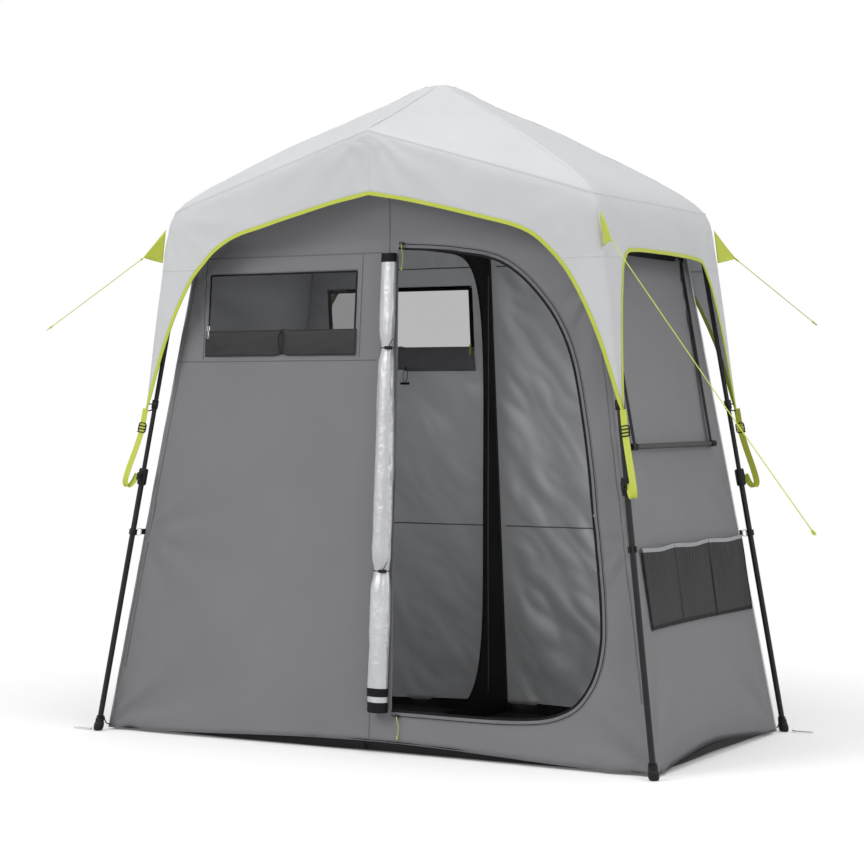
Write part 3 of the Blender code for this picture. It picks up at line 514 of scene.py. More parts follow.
# Ribbed lime tape with a dull, even colour, and grey felled seams that show as thin lines on the pale cloth.
lime = woven_cloth("lime_grosgrain", "AFBB34", "C3CD4C", 0.55, 2.0, 0.4)
seam_tape = woven_cloth("seam_tape", "C2C4C6", "CED0D2", 0.6, 2.0, 0.3)
edge_sides = [(eave - low).normalized() for eave, low in ring]
edge_points = [skirt_point(eave, low, 1) + side * 0.005 for (eave, low), side in zip(ring, edge_sides)]
binding = soft_piece("canopy_binding", tape(edge_points, edge_sides, BINDING_WIDTH, BINDING_THICKNESS, True), lime)
eave_points = [roof_point(eave, low, 1) + Vector((eave.x * 0.0014, eave.y * 0.003, 0.0012)) for eave, low in ring]
seams = [tape(eave_points, edge_sides, SEAM_WIDTH, SEAM_THICKNESS, True)]
tips = sorted(range(ring_count), key=lambda i: ring[i][1].z)[:4]
for i in tips:
    seams.append(seam_along([roof_point(*ring[i], share / 20) for share in range(1, 21)]))
    patch = []
    for step in range(-14, 15):
        eave, low = ring[(i + step) % ring_count]
        share = (eave.z - CORNER_PATCH_Z) / (eave.z - low.z)
        if share < 0.985:
            patch.append(skirt_point(eave, low, share))
    seams.append(seam_along(patch))
for i in (0, ring_count // 2):
    eave, low = ring[i]
    seams.append(seam_along([skirt_point(eave, low, share / 8) for share in range(9)]))
    seams.append(seam_along([roof_point(eave, low, share / 20) for share in range(1, 21)]))
canopy_seams = soft_piece("canopy_seams", gather(seams), seam_tape)


# Walls
# Grey polyester with a silver coating inside, hung from the roof poles and strapped to the legs.
# Creases fan out from the tie points, slack cloth hangs in slanting folds, and zips and bindings hold it flat.
WALL_FOOT = (1.058, 0.530)
WALL_HEAD = (0.768, 0.385)
WALL_HEAD_Z = 1.700
BEND_Z = 1.712
SIDE_TOP_Z = 1.760
HEM_Z = 0.0046
HEM_ARCH = 0.030
SIDE_BOW = 0.020
WALL_CLOTH = 0.0010
HUB_PIN = (0.060, 0.485, 2.020)
ELBOW = (0.800, 0.400, 1.795)
POLE_CLEAR = 0.0105
ELBOW_REACH = 0.070
FRONT_SEED, BACK_SEED = 1.3, 7.1
BEND_SHARE = 0.86
TIES = ((0.03, 0.30, 0.010), (0.70, 0.22, 0.007), (1.55, 0.28, 0.007))
DOOR_EDGE = [(0.052, 1.674), (0.27, 1.655), (0.45, 1.612), (0.60, 1.487), (0.70, 1.322), (0.762, 1.071),
             (0.806, 0.787), (0.84, 0.538), (0.846, 0.382), (0.81, 0.256), (0.726, 0.175), (0.55, 0.142),
             (0.100, 0.140)]
FRONT_WINDOW = (-0.704, -0.107, 1.400, 1.602)
BACK_WINDOW = (-0.700, -0.090, 1.356, 1.580)
door_line = smooth_line([(x, 0, z) for x, z in DOOR_EDGE], 10)


def wall_x(z):
    """Half the width between the end walls at a height."""
    return mix(WALL_FOOT[0], WALL_HEAD[0], z / WALL_HEAD_Z)


def wall_y(z):
    """Half the depth between the front and back walls at a height."""
    return mix(WALL_FOOT[1], WALL_HEAD[1], z / WALL_HEAD_Z)


def pull_folds(across, z, half, seed):
    """Height of the creases that fan out from a wall's ties, and of the slow waves between them.

    Each tie has its height on the leg, how far its creases reach, and how deep they are.
    """
    height = 0.0
    for side in (-1, 1):
        for tie_z, reach, depth in TIES:
            da, dz = across - side * half(tie_z), z - tie_z
            far = math.hypot(da, dz)
            angle = math.atan2(dz, -side * da)
            height += depth * math.exp(-far / reach) * min(1, far / 0.06) * math.sin(9 * angle + seed + tie_z)
            height += 0.5 * depth * math.exp(-2 * far / reach) * min(1, far / 0.09) * math.sin(23 * angle - seed)
    spot = Vector((across, z * 0.55, seed))
    height += 0.006 * ripple(spot, 2.3, seed) + 0.0018 * ripple(spot, 8.0, seed + 3)
    return height * min(1, max(0, (half(z) - abs(across)) / 0.05))


def slack_folds(across, z, seed):
    """Height of the creases in slack cloth, about -1 to 1: noise drawn out along their slope, with some sharp lines."""
    over, along = 0.77 * across + 0.64 * z, 0.64 * across - 0.77 * z
    broad = ripple(Vector((over, along * 0.30, seed)), 9.0, seed)
    sharp = abs(ripple(Vector((over, along * 0.45, seed)), 14.0, seed + 2))
    return 1.2 * broad + 1.2 * (0.22 - sharp)


def box_distance(across, z, x0, x1, z0, z1):
    """Distance from a point of a wall to a window's edge."""
    dx, dz = max(x0 - across, across - x1), max(z0 - z, z - z1)
    if max(dx, dz) <= 0:
        return -max(dx, dz)
    return math.hypot(max(dx, 0), max(dz, 0))


def long_wall_fold(across, z, sy):
    """Depth of the folds on a front or back wall, held flat along its seam, zip and window."""
    if sy < 0:
        slack = 0.0015 + 0.006 * min(1, max(0, (across - 0.50) / 0.25))
        held = min(math.hypot(across - p.x, z - p.z) for p in door_line)
        held = min(held, box_distance(across, z, *FRONT_WINDOW))
        height = pull_folds(across, z, wall_x, FRONT_SEED) + slack * slack_folds(across, z, FRONT_SEED)
    else:
        held = box_distance(across, z, *BACK_WINDOW)
        height = pull_folds(across, z, wall_x, BACK_SEED) + 0.013 * slack_folds(across, z, BACK_SEED)
        height *= min(1, (wall_x(z) - abs(across)) / 0.06)
    return height * min(1, held / 0.07 + 0.05) * min(1, abs(across) / 0.08)


def long_wall_point(across, z, sy, lift=0.0):
    """Point on a front or back wall below its bend, lifted outwards."""
    return Vector((across, sy * (wall_y(z) - 0.004 + long_wall_fold(across, z, sy) + lift), z))


def long_wall_top(across, sy, share, lift=0.0):
    """Point on the part of a wall that leans out to the roof poles."""
    high = across * (ELBOW[0] - ELBOW_REACH) / wall_x(BEND_Z)
    t = (abs(high) - HUB_PIN[0]) / (ELBOW[0] - HUB_PIN[0])
    top = Vector((high, sy * mix(HUB_PIN[1], ELBOW[1], t), mix(HUB_PIN[2], ELBOW[2], t) - POLE_CLEAR))
    top.z = min(top.z, HUB_PIN[2] - 0.016)
    return long_wall_point(across, BEND_Z, sy).lerp(top, share) + Vector((0, sy * lift, 0))


def hem_height(share):
    """Height of a wall's hem, drawn up between its corners."""
    return HEM_Z + HEM_ARCH * math.cos(math.pi * share / 2) ** 2


def long_wall_sheet(sy, columns, rows):
    """Grid of a front or back wall from hem to roof poles."""
    verts = []
    for k in range(rows + 1):
        v = k / rows
        for i in range(columns + 1):
            share = mix(-1, 1, i / columns) * -sy
            if v <= BEND_SHARE:
                z = mix(hem_height(share), BEND_Z, v / BEND_SHARE)
                verts.append(long_wall_point(share * wall_x(z), z, sy))
            else:
                verts.append(long_wall_top(share * wall_x(BEND_Z), sy, (v - BEND_SHARE) / (1 - BEND_SHARE)))
    return verts, grid_faces(columns, rows)


def cut(obj, outline, place, low, high):
    """Cuts an outline through a sheet; place turns (u, v, depth) into a point."""
    count = len(outline)
    verts = [place(u, v, w) for w in (low, high) for u, v in outline]
    faces = [tuple(range(count))[::-1], tuple(range(count, 2 * count))]
    faces += [(i, (i + 1) % count, count + (i + 1) % count, count + i) for i in range(count)]
    tool = new_piece("cutter", verts, faces, [])
    work = bmesh.new()
    work.from_mesh(tool.data)
    bmesh.ops.recalc_face_normals(work, faces=work.faces)
    work.to_mesh(tool.data)
    work.free()
    change = obj.modifiers.new("cut", "BOOLEAN")
    change.object = tool
    change.operation = "DIFFERENCE"
    change.solver = "EXACT"
    bpy.context.view_layer.update()
    mesh = bpy.data.meshes.new_from_object(obj.evaluated_get(bpy.context.evaluated_depsgraph_get()))
    obj.modifiers.clear()
    obj.data = mesh
    bpy.data.objects.remove(tool)


def on_long_wall(u, v, w):
    """Place of a cutter for the front and back walls."""
    return Vector((u, w, v))


def box_line(x0, x1, z0, z1):
    """Outline of a window."""
    return [(x0, z0), (x1, z0), (x1, z1), (x0, z1)]


# Mid-grey polyester, matt outside. The silver coating inside is brighter and slightly metallic, so its creases glint.
# Its colour is painted lighter than the coating's own, which the rolled door keeps, as painted light that brightens the
# dim rooms inside.
wall_cloth = woven_cloth("wall_polyester", "737276", "7F7E82", 0.66, 2.5, 1.4, through=0.25)
silver_painted_light = woven_cloth("silver_coating_painted_light", "D6D7D9", "E8E9EA", 0.40, 2.5, 2.6, metal=0.18, through=0.25)
front_wall = thicken("front_wall", *long_wall_sheet(-1, 120, 100), WALL_CLOTH, wall_cloth, silver_painted_light)
cut(front_wall, box_line(*FRONT_WINDOW), on_long_wall, -0.9, -0.2)
cut(front_wall, [(p.x, p.z) for p in door_line], on_long_wall, -0.9, -0.2)
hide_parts("front_wall_left", "front_wall_right")
fold_with_frame(front_wall)
back_wall = thicken("back_wall_sheet", *long_wall_sheet(1, 120, 100), WALL_CLOTH, wall_cloth, silver_painted_light)
cut(back_wall, box_line(*BACK_WINDOW), on_long_wall, 0.2, 0.9)
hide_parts("back_wall")
fold_with_frame(back_wall)


def side_wall_point(y, z, sx, lift=0.0):
    """Point on an end wall, drawn in between the legs and flat behind the pockets."""
    half = wall_y(min(z, BEND_Z)) - 0.002
    seed = 5.2 if sx > 0 else 3.7
    fold = 0.7 * pull_folds(y, z, wall_y, seed)
    if sx > 0:
        fold *= 0.15 + 0.85 * min(1, max(0, abs(z - 0.57) - 0.14) / 0.10)
    return Vector((sx * (wall_x(z) - 0.004 - SIDE_BOW * (1 - (y / half) ** 2) + fold + lift), y, z))


def side_wall_sheet(sx, columns, rows):
    """Grid of an end wall from hem to top."""
    verts = []
    for k in range(rows + 1):
        for i in range(columns + 1):
            share = mix(-1, 1, i / columns) * sx
            z = mix(hem_height(share), SIDE_TOP_Z, k / rows)
            verts.append(side_wall_point(share * (wall_y(min(z, BEND_Z)) - 0.002), z, sx))
    return verts, grid_faces(columns, rows)


for side, sx in (("left", -1), ("right", 1)):
    wall = thicken(side + "_wall_sheet", *side_wall_sheet(sx, 60, 90), WALL_CLOTH, wall_cloth, silver_painted_light)
    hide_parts(side + "_wall")
    fold_with_frame(wall)


# Wall seams and zips
# Stitched seams on the front and back walls, and the door's black nylon coil zip on a grey tape.
# The tape is sewn round the doorway, and the cut edge beside it is bound in black.
TAPE_WIDTH, TAPE_THICKNESS = 0.009, 0.0012
ZIP_OFFSET = 0.016
COIL_RADIUS = 0.0011
STITCH_THICKNESS = 0.0010
FRONT_SEAMS = ((0.016, 0.045, 0.016, BEND_Z, 40, 0.004), (-0.760, 1.662, -0.010, 1.662, 24, 0.004),
               (-0.825, 1.300, -0.020, 1.300, 24, 0.003), (-0.724, 1.310, -0.724, 1.662, 24, 0.003),
               (-0.086, 1.310, -0.086, 1.662, 24, 0.003), (-0.995, 0.22, -0.766, 1.60, 40, 0.004),
               (0.995, 0.22, 0.766, 1.60, 40, 0.004))
BACK_SEAMS = ((-0.76, -0.02, 1.655), (-0.92, -0.02, 0.700), (0.02, 0.92, 0.700), (0.02, 0.76, 1.655))


def wire(points, radius, sides=8, closed=False):
    """Verts and faces of a round wire or cord along points."""
    verts, faces = [], []
    count = len(points)
    hold = Vector((0.31, 0.17, 0.93))
    for i, point in enumerate(points):
        ahead = points[(i + 1) % count if closed else min(i + 1, count - 1)]
        along = (ahead - points[i - 1 if closed or i else 0]).normalized()
        first = (hold - along * along.dot(hold)).normalized()
        second = along.cross(first)
        hold = first
        for k in range(sides):
            a = 2 * math.pi * k / sides
            verts.append(point + first * radius * math.cos(a) + second * radius * math.sin(a))
    for i in range(count if closed else count - 1):
        here, there = i * sides, (i + 1) % count * sides
        faces += [(here + k, here + (k + 1) % sides, there + (k + 1) % sides, there + k) for k in range(sides)]
    if not closed:
        faces += [tuple(range(sides))[::-1], tuple((count - 1) * sides + k for k in range(sides))]
    return verts, faces


def wall_tape(places, sy, width, thickness, lift):
    """A tape that lies on a front or back wall along (x, z) places."""
    points = [long_wall_point(x, z, sy, lift) for x, z in places]
    sides = []
    for i in range(len(points)):
        along = points[min(i + 1, len(points) - 1)] - points[max(i - 1, 0)]
        sides.append(along.cross(Vector((0, sy, 0))))
    return tape(points, sides, width, thickness)


def straight(x0, z0, x1, z1, steps=24):
    """Places along a straight line on a wall."""
    return [(mix(x0, x1, i / steps), mix(z0, z1, i / steps)) for i in range(steps + 1)]


def window_tape(x0, x1, z0, z1, sy, width, lift):
    """Binding round a window opening, in four lengths."""
    edges = (straight(x0, z0, x1, z0), straight(x1, z0, x1, z1), straight(x1, z1, x0, z1), straight(x0, z1, x0, z0))
    return gather([wall_tape(edge, sy, width, TAPE_THICKNESS, lift) for edge in edges])


# Black tape and webbing that takes almost no light, and grey stitched seams a shade darker than the walls.
black_webbing = woven_cloth("black_webbing", "0D0D0F", "19191C", 0.6, 2.0, 0.3, gloss=0.12)
grey_seam = woven_cloth("grey_seam", "5C5B5F", "67666A", 0.65, 2.0, 0.3)
front_seams = [wall_tape(straight(x0, z0, x1, z1, steps), -1, width, STITCH_THICKNESS, SEAM_LIFT)
               for x0, z0, x1, z1, steps, width in FRONT_SEAMS]
top_points = [long_wall_top(0.016 + 0.006 * i, -1, i / 10, SEAM_LIFT) for i in range(11)]
front_seams.append(tape(top_points, [Vector((1, 0, 0))] * 11, 0.004, STITCH_THICKNESS))
front_stitching = soft_piece("front_wall_seams", gather(front_seams), grey_seam)

zip_places = []
for i, point in enumerate(door_line):
    along = (door_line[min(i + 1, len(door_line) - 1)] - door_line[max(i - 1, 0)]).normalized()
    zip_places.append((point.x + along.z * -ZIP_OFFSET, point.z + along.x * ZIP_OFFSET))
zip_points = [long_wall_point(x, z, -1, 0.0026) for x, z in zip_places]
zip_tape = soft_piece("door_zip_tape", wall_tape(zip_places, -1, TAPE_WIDTH, TAPE_THICKNESS, 0.0014), wall_cloth)
door_zip = soft_piece("door_zip_coil", wire(zip_points, COIL_RADIUS), black_webbing, True)
edge_binding = soft_piece("door_binding", wall_tape([(p.x, p.z) for p in door_line], -1, 0.008, 0.0034, 0.0),
                          black_webbing)
back_seams = [wall_tape(straight(x0, z, x1, z, 90), 1, 0.004, 0.0036, 0.0) for x0, x1, z in BACK_SEAMS]
back_stitching = soft_piece("back_wall_seams", gather(back_seams), grey_seam)


# Windows
# Black no-see-um mesh sewn behind each opening under black binding. A dark cloth cover hangs below it, gathered in
# two halves by a cord loop on the front wall, and zips up the left side of the opening.
MESH_LAP, MESH_THICKNESS = 0.008, 0.0004
COVER_DROP, COVER_LAP = 0.082, 0.012
COVER_SPLIT = -0.395


def window_mesh():
    """Knitted nylon mesh: black threads half a millimetre apart, too fine to draw, so it shows as a dark veil.

    Slack in the mesh makes the veil uneven over about 60 mm.
    """
    material, tree, shader, place = start_material("nylon_mesh", 0.6, 0.1)
    shader.inputs["Alpha"].default_value = 0.31
    uneven = add_node(tree, "ShaderNodeTexNoise", {"Vector": place, "Scale": 1 / 0.06, "Detail": 3.0})
    add_node(tree, "ShaderNodeMix", {0: uneven.outputs["Fac"], 6: srgb("161618"), 7: srgb("29292C")},
             shader.inputs["Base Color"], 2, data_type="RGBA")
    return material


def window_panel(x0, x1, z0, z1, sy, columns, rows):
    """Grid of the mesh behind a window."""
    verts = [long_wall_point(mix(x0, x1, i / columns), mix(z0, z1, k / rows), sy, -0.0015)
             for k in range(rows + 1) for i in range(columns + 1)]
    faces = grid_faces(columns, rows)
    return verts, faces if sy < 0 else [f[::-1] for f in faces]


def window_cover(x0, x1, foot, sy, side, columns=70, rows=12):
    """Cloth cover that hangs below a window, on the wall's outer (1) or inner (-1) side."""
    verts = []
    for k in range(rows + 1):
        v = k / rows
        for i in range(columns + 1):
            x, z = mix(x0, x1, i / columns), mix(foot - COVER_DROP, foot + COVER_LAP, v)
            tied = math.exp(-((x - COVER_SPLIT) / 0.016) ** 2)
            belly = 0.003 + 0.004 * math.sin(math.pi * min(1, 0.15 + v * 0.85)) * (1 - 0.8 * tied)
            belly += 0.0022 * ripple(Vector((x * 2.2 + z, z * 5 - x, 0)), 7.0, 3.0)
            z += 0.006 * tied * (1 - v) - 0.005 * (1 - tied) * (v > 0.9)
            verts.append(long_wall_point(x, z, sy, side * belly))
    faces = grid_faces(columns, rows)
    return verts, faces if sy * side < 0 else [f[::-1] for f in faces]


mesh_cloth = window_mesh()
# Charcoal polyester, matt, with deeper creases where it is gathered.
dark_cloth = woven_cloth("dark_cover_cloth", "29282A", "343335", 0.62, 2.5, 2.2, gloss=0.25)
front_trim = [front_stitching, zip_tape, door_zip, edge_binding]
back_trim = [back_stitching]
for where, sy, box, side, trim, cover_cloth in (("front", -1, FRONT_WINDOW, 1, front_trim, dark_cloth),
                                                ("back", 1, BACK_WINDOW, -1, back_trim, wall_cloth)):
    grown = (box[0] - MESH_LAP, box[1] + MESH_LAP, box[2] - MESH_LAP, box[3] + MESH_LAP)
    panel = thicken(where + "_window_mesh", *window_panel(*grown, sy, 40, 14), MESH_THICKNESS, mesh_cloth, mesh_cloth)
    fold_with_frame(panel)
    width = 0.006 if sy < 0 else 0.016
    trim.append(soft_piece(where + "_window_binding", window_tape(*box, sy, width, SEAM_LIFT * side), black_webbing))
    shape = window_cover(box[0] - 0.010, box[1] + 0.008, box[2], sy, side)
    cover = thicken(where + "_window_cover", *shape, WALL_CLOTH, cover_cloth, cover_cloth)
    fold_with_frame(cover)
loop_top = long_wall_point(COVER_SPLIT, 1.405, -1, 0.006)
loop_route = smooth_line([loop_top + Vector(step) for step in (
    (0, 0, 0), (0.006, -0.007, -0.03), (-0.002, -0.008, -0.082), (-0.012, -0.007, -0.03), (-0.004, 0, 0.001))], 6)
front_trim.append(soft_piece("window_cover_loop", wire(loop_route, 0.0013), black_webbing, True))


def zip_pull(place, out):
    """Die-cast slider with a hanging tongue."""
    down, across = Vector((0, 0, -1)), Vector((1, 0, 0))
    body = [place + across * x + down * z + out * 0.003 for x, z in
            ((-0.005, -0.008), (0.005, -0.008), (0.0035, 0.008), (-0.0035, 0.008))]
    frame_line = [place + across * x + down * z + out * 0.006 for x, z in
                  ((-0.003, 0.006), (0.003, 0.006), (0.004, 0.030), (0, 0.034), (-0.004, 0.030))]
    return gather([wire(body, 0.0022, 8, True), wire(frame_line, 0.0012, 8, True)])


def zinc_alloy():
    """Bright nickel-plated zinc: a cool polished metal with faint handling marks about 4 mm across."""
    material, tree, shader, place = start_material("nickel_plated_zinc", 0.28)
    shader.inputs["Metallic"].default_value = 1.0
    marks = add_node(tree, "ShaderNodeTexNoise", {"Vector": place, "Scale": 1 / 0.004, "Detail": 4.0})
    add_node(tree, "ShaderNodeMix", {0: marks.outputs["Fac"], 6: srgb("B9BABC"), 7: srgb("D9DADC")},
             shader.inputs["Base Color"], 2, data_type="RGBA")
    return material


nickel = zinc_alloy()
pull_place = long_wall_point(FRONT_WINDOW[0], 1.415, -1, 0.002)
front_trim.append(soft_piece("window_zip_pull", zip_pull(pull_place, Vector((0, -1, 0))), nickel, True))

toggle_top = long_wall_point(-0.369, 1.290, 1, -0.010)
toggle_route = smooth_line([toggle_top + Vector(step) for step in (
    (0, 0, 0), (-0.010, -0.004, -0.030), (-0.002, -0.004, -0.062), (0.010, -0.004, -0.030), (0.002, 0, 0))], 6)
barrel = [toggle_route[len(toggle_route) // 2] + Vector((x, 0, 0)) for x in (-0.018, -0.015, 0.015, 0.018)]
back_trim.append(soft_piece("back_window_toggle", gather([wire(toggle_route, 0.0012), wire(barrel, 0.0045, 12)]), nylon,
                            True))
pull_top = long_wall_point(-0.094, 1.372, 1, -0.010)
pull_line = smooth_line([pull_top + Vector(step) for step in ((0, 0, 0), (0.002, -0.004, -0.016), (0, -0.003, -0.040))],
                        5)
back_trim.append(soft_piece("back_window_pull", tape(pull_line, [Vector((1, 0, 0))] * len(pull_line), 0.007, 0.0014),
                            lime))


# Divider and groundsheet
# Black cloth between the rooms with a bound doorway, squarer at the front, and a zip down its back edge.
# The black coated floor turns up under the walls' hems, where it is sewn to them.
DOORWAY_MIDDLE, DOORWAY_HALF = -0.016, 0.346
DOORWAY = (0.055, 1.690)
DIVIDER_INSET = 0.004
DIVIDER_ZIP_Y = 0.360
FLOOR_LIP = 0.006


def rounded(value, power=0.45):
    """A sine or cosine drawn towards -1 or 1, which squares a round outline."""
    return math.copysign(abs(value) ** power, value)


def doorway_point(turn):
    """Point (y, z) on the doorway's edge."""
    middle, height = (DOORWAY[0] + DOORWAY[1]) / 2, (DOORWAY[1] - DOORWAY[0]) / 2
    power = 0.45 if math.cos(turn) > 0 else 0.15
    return (DOORWAY_MIDDLE + DOORWAY_HALF * rounded(math.cos(turn), power),
            middle + height * rounded(math.sin(turn), power))


def divider_point(y, z, lift=0.0):
    """Point on the slightly wavy divider."""
    half = wall_y(min(z, BEND_Z)) - DIVIDER_INSET
    return Vector((0.006 * ripple(Vector((y, z * 0.6, 0)), 3.0, 9.0) * (1 - (y / half) ** 2) + lift, y, z))


def on_divider(u, v, w):
    """Place of a cutter for the divider."""
    return Vector((w, u, v))


# Black polyester, dull enough that the rooms look dark behind it.
black_cloth = woven_cloth("black_polyester", "121214", "1E1E21", 0.6, 2.5, 1.6, gloss=0.15)
divider_verts = []
for k in range(81):
    z = mix(0.005, SIDE_TOP_Z, k / 80)
    half = wall_y(min(z, BEND_Z)) - DIVIDER_INSET
    divider_verts += [divider_point(mix(-half, half, i / 50), z) for i in range(51)]
divider = thicken("divider_sheet", divider_verts, grid_faces(50, 80), WALL_CLOTH, black_cloth, black_cloth)
doorway_line = [doorway_point(2 * math.pi * i / 96) for i in range(96)]
cut(divider, doorway_line, on_divider, -0.5, 0.5)
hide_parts("divider")
fold_with_frame(divider)
doorway_edge = [divider_point(y, z) for y, z in doorway_line]
doorway_sides = [Vector((0, p.y, p.z - 0.87)) for p in doorway_edge]
doorway_binding = soft_piece("doorway_binding", tape(doorway_edge, doorway_sides, 0.010, 0.0026, True), black_webbing)
zip_line = [divider_point(DIVIDER_ZIP_Y, mix(0.10, 1.62, i / 40), SEAM_LIFT) for i in range(41)]
divider_zip = soft_piece("divider_zip", wire(zip_line, 0.0022, 6), grey_seam, True)

floor_verts = []
for k in range(49):
    for i in range(91):
        x, y = mix(-1, 1, i / 90), mix(-1, 1, k / 48)
        edge = max(abs(x), abs(y))
        lip = min(1, max(0, (edge - 0.965) / 0.035))
        hem = hem_height(y if abs(x) >= abs(y) else x)
        rise = 0.0035 + 0.0025 * ripple(Vector((x, y, 0)), 4.0, 2.0)
        bulge = 1 + 0.008 * math.sin(math.pi * min(1, lip * 1.2)) * (1 - abs(x) ** 8)
        floor_verts.append(Vector((x * WALL_FOOT[0] - math.copysign(FLOOR_LIP, x) * lip,
                                   y * WALL_FOOT[1] * bulge - math.copysign(FLOOR_LIP, y) * lip,
                                   mix(max(0.0008, rise), hem + FLOOR_LIP, lip ** 2))))
groundsheet = thicken("groundsheet_cloth", floor_verts, grid_faces(90, 48), WALL_CLOTH, black_cloth, black_cloth)
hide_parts("groundsheet")
fold_with_frame(groundsheet)


# Rolled door
# The door rolled up silver side out beside its hinge seam. Black zip tape shows in bands at both ends,
# and two elastic ties with toggles cinch it.
ROLL_TOP = (0.030, 1.656)
ROLL_FOOT = (0.064, 0.138)
ROLL_HALF = (0.043, 0.026)
CINCHES = (1.340, 0.600)
ROLL_BANDS = ((1.6575, 1.628), (0.216, 0.189), (0.170, 0.1365))
ROLL_RINGS, ROLL_SIDES = 150, 44


def roll_point(share, turn, grow=0.0):
    """Point on the lumpy roll, drawn in by its ties."""
    z = mix(ROLL_TOP[1], ROLL_FOOT[1], share)
    tied = max(math.exp(-((z - c) / 0.035) ** 2) for c in CINCHES)
    near = max(math.exp(-((z - c) / 0.11) ** 2) for c in CINCHES)
    swell = mix(0.62, 1, math.sin(math.pi * (0.12 + 0.88 * share) * 0.55)) * (1 - 0.24 * tied)
    width, depth = ROLL_HALF[0] * swell, ROLL_HALF[1] * swell
    crease = 1 - 0.10 * (0.5 + 0.5 * math.sin(3 * turn + 7.5 * share))
    crease -= 0.16 * (0.5 + 0.5 * ripple(Vector((math.cos(turn), math.sin(turn), z * 4.5)), 1.6, 4.0))
    crease -= 0.12 * abs(ripple(Vector((math.cos(turn), math.sin(turn), z * 9 + turn)), 2.6, 7.0))
    crease -= 0.07 * near * (0.5 + 0.5 * math.sin(11 * turn + 2 * ripple(Vector((0, 0, z)), 9, 2)))
    middle = Vector((mix(ROLL_TOP[0], ROLL_FOOT[0], share), -wall_y(z) - 0.0015 - depth, z))
    return middle + Vector(((width * crease + grow) * math.cos(turn),
                            (depth * mix(1, crease, 0.6) + grow) * math.sin(turn), 0))


def roll_shell(first, last, rings, grow=0.0):
    """Closed length of the roll between two shares of its height."""
    verts = [roll_point(mix(first, last, k / rings), 2 * math.pi * i / ROLL_SIDES, grow)
             for k in range(rings + 1) for i in range(ROLL_SIDES)]
    faces = []
    for k in range(rings):
        for i in range(ROLL_SIDES):
            j = (i + 1) % ROLL_SIDES
            here, there = k * ROLL_SIDES, (k + 1) * ROLL_SIDES
            faces.append((here + j, here + i, there + i, there + j))
    faces += [tuple(range(ROLL_SIDES)), tuple(rings * ROLL_SIDES + i for i in range(ROLL_SIDES))[::-1]]
    return verts, faces


def roll_share(z):
    """Share of the roll's length at a height."""
    return (ROLL_TOP[1] - z) / (ROLL_TOP[1] - ROLL_FOOT[1])


# The same silver coating, crushed by the rolling: deep creases that break its glint into streaks.
roll_silver = woven_cloth("roll_silver", "ACADB0", "CBCCCE", 0.40, 2.5, 8.0, metal=0.35)
door_roll = new_piece("door_roll_cloth", *roll_shell(0, 1, ROLL_RINGS), [roll_silver])
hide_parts("door_roll")
fold_with_frame(door_roll)
bands = [roll_shell(roll_share(high), roll_share(low), 8, 0.0012) for high, low in ROLL_BANDS]
soft_piece("roll_zip_bands", gather(bands), black_webbing, True)
ties = []
for z in CINCHES:
    share = roll_share(z)
    ties.append(wire([roll_point(share, 2 * math.pi * i / 40, 0.0012) for i in range(40)], 0.0016, 8, True))
    front = roll_point(share, math.radians(-62), 0.006)
    ties.append(wire([front + Vector((d, d * 0.4, 0)) for d in (-0.012, -0.009, 0.009, 0.012)], 0.0055, 12))
    tail = smooth_line([front, front + Vector((0.010, -0.004, 0.014)), front + Vector((0.016, 0.002, 0.030))], 6)
    ties.append(wire(tail, 0.0014))
soft_piece("roll_ties", gather(ties), nylon, True)


# Zip sliders and pulls
# Moulded sliders on the door's zip, each with a limp, knotted lime cord to pull it by, which travels with it.
PULL_DIAMETER = 0.0022
KNOT_STEPS = (0.004, 0.002, -0.003, -0.006)


def add_cord(name, route, diameter, material):
    """A limp cord along one smooth line, with that line and its length."""
    line = smooth_line(route, 8)
    cord = new_piece(name, *wire(line, diameter / 2, 10), [material])
    return cord, line, sum((b - a).length for a, b in zip(line, line[1:]))


# Braided lime cord, a little lighter and yellower than the tape.
cord_cloth = woven_cloth("lime_cord", "B2C038", "CAD654", 0.6, 1.5, 0.3)
for slider, body, reach in (("zip_slider_upper", "zip_upper", 0.085), ("zip_slider_lower", "zip_lower", 0.070)):
    dress(slider, nylon, 0.0008)
    low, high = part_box(slider)
    start = Vector(((low.x + high.x) / 2, low.y - PULL_DIAMETER / 2, (low.z + high.z) / 2))
    route = [start, start + Vector((0.004, -0.004, -0.012)), start + Vector((0.009, -0.003, -reach * 0.55)),
             start + Vector((0.003, -0.002, -reach))]
    cord, line, length = add_cord("pull_" + slider, route, PULL_DIAMETER, cord_cloth)
    knot_line = [line[-1] + Vector((0, 0, d)) for d in KNOT_STEPS]
    knot = new_piece("pull_knot_" + slider, *wire(knot_line, 0.0026, 10), [cord_cloth])
    for piece in (cord, knot):
        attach(piece, body)
    for piece in (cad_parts[slider], cord, knot):
        draw_in(piece)


# Towel rail
# A powder-coated steel bar with moulded end caps, hung on two looped webbing straps.
# The straps are sewn to a webbing band on the right wall, just under the canopy's edge, and swing with the bar.
RAIL_HALF = 0.351
RAIL_STRAP_Y, RAIL_STRAP_WIDTH = 0.325, 0.020
RAIL_PIVOT_Z = 1.645
RAIL_BAND_Z, RAIL_BAND_WIDTH = 1.660, 0.030
RAIL_LOOP, RAIL_CAP = 0.0103, 0.0112
WEBBING = 0.0016
RAIL_CLEAR = WEBBING / 2 + 0.0006


def side_face(y, z):
    """Outer face of the plain right wall, which the fittings on it are set off from."""
    share = y / (wall_y(min(z, BEND_Z)) - 0.0013)
    return wall_x(z) - SIDE_BOW * (1 - share * share)


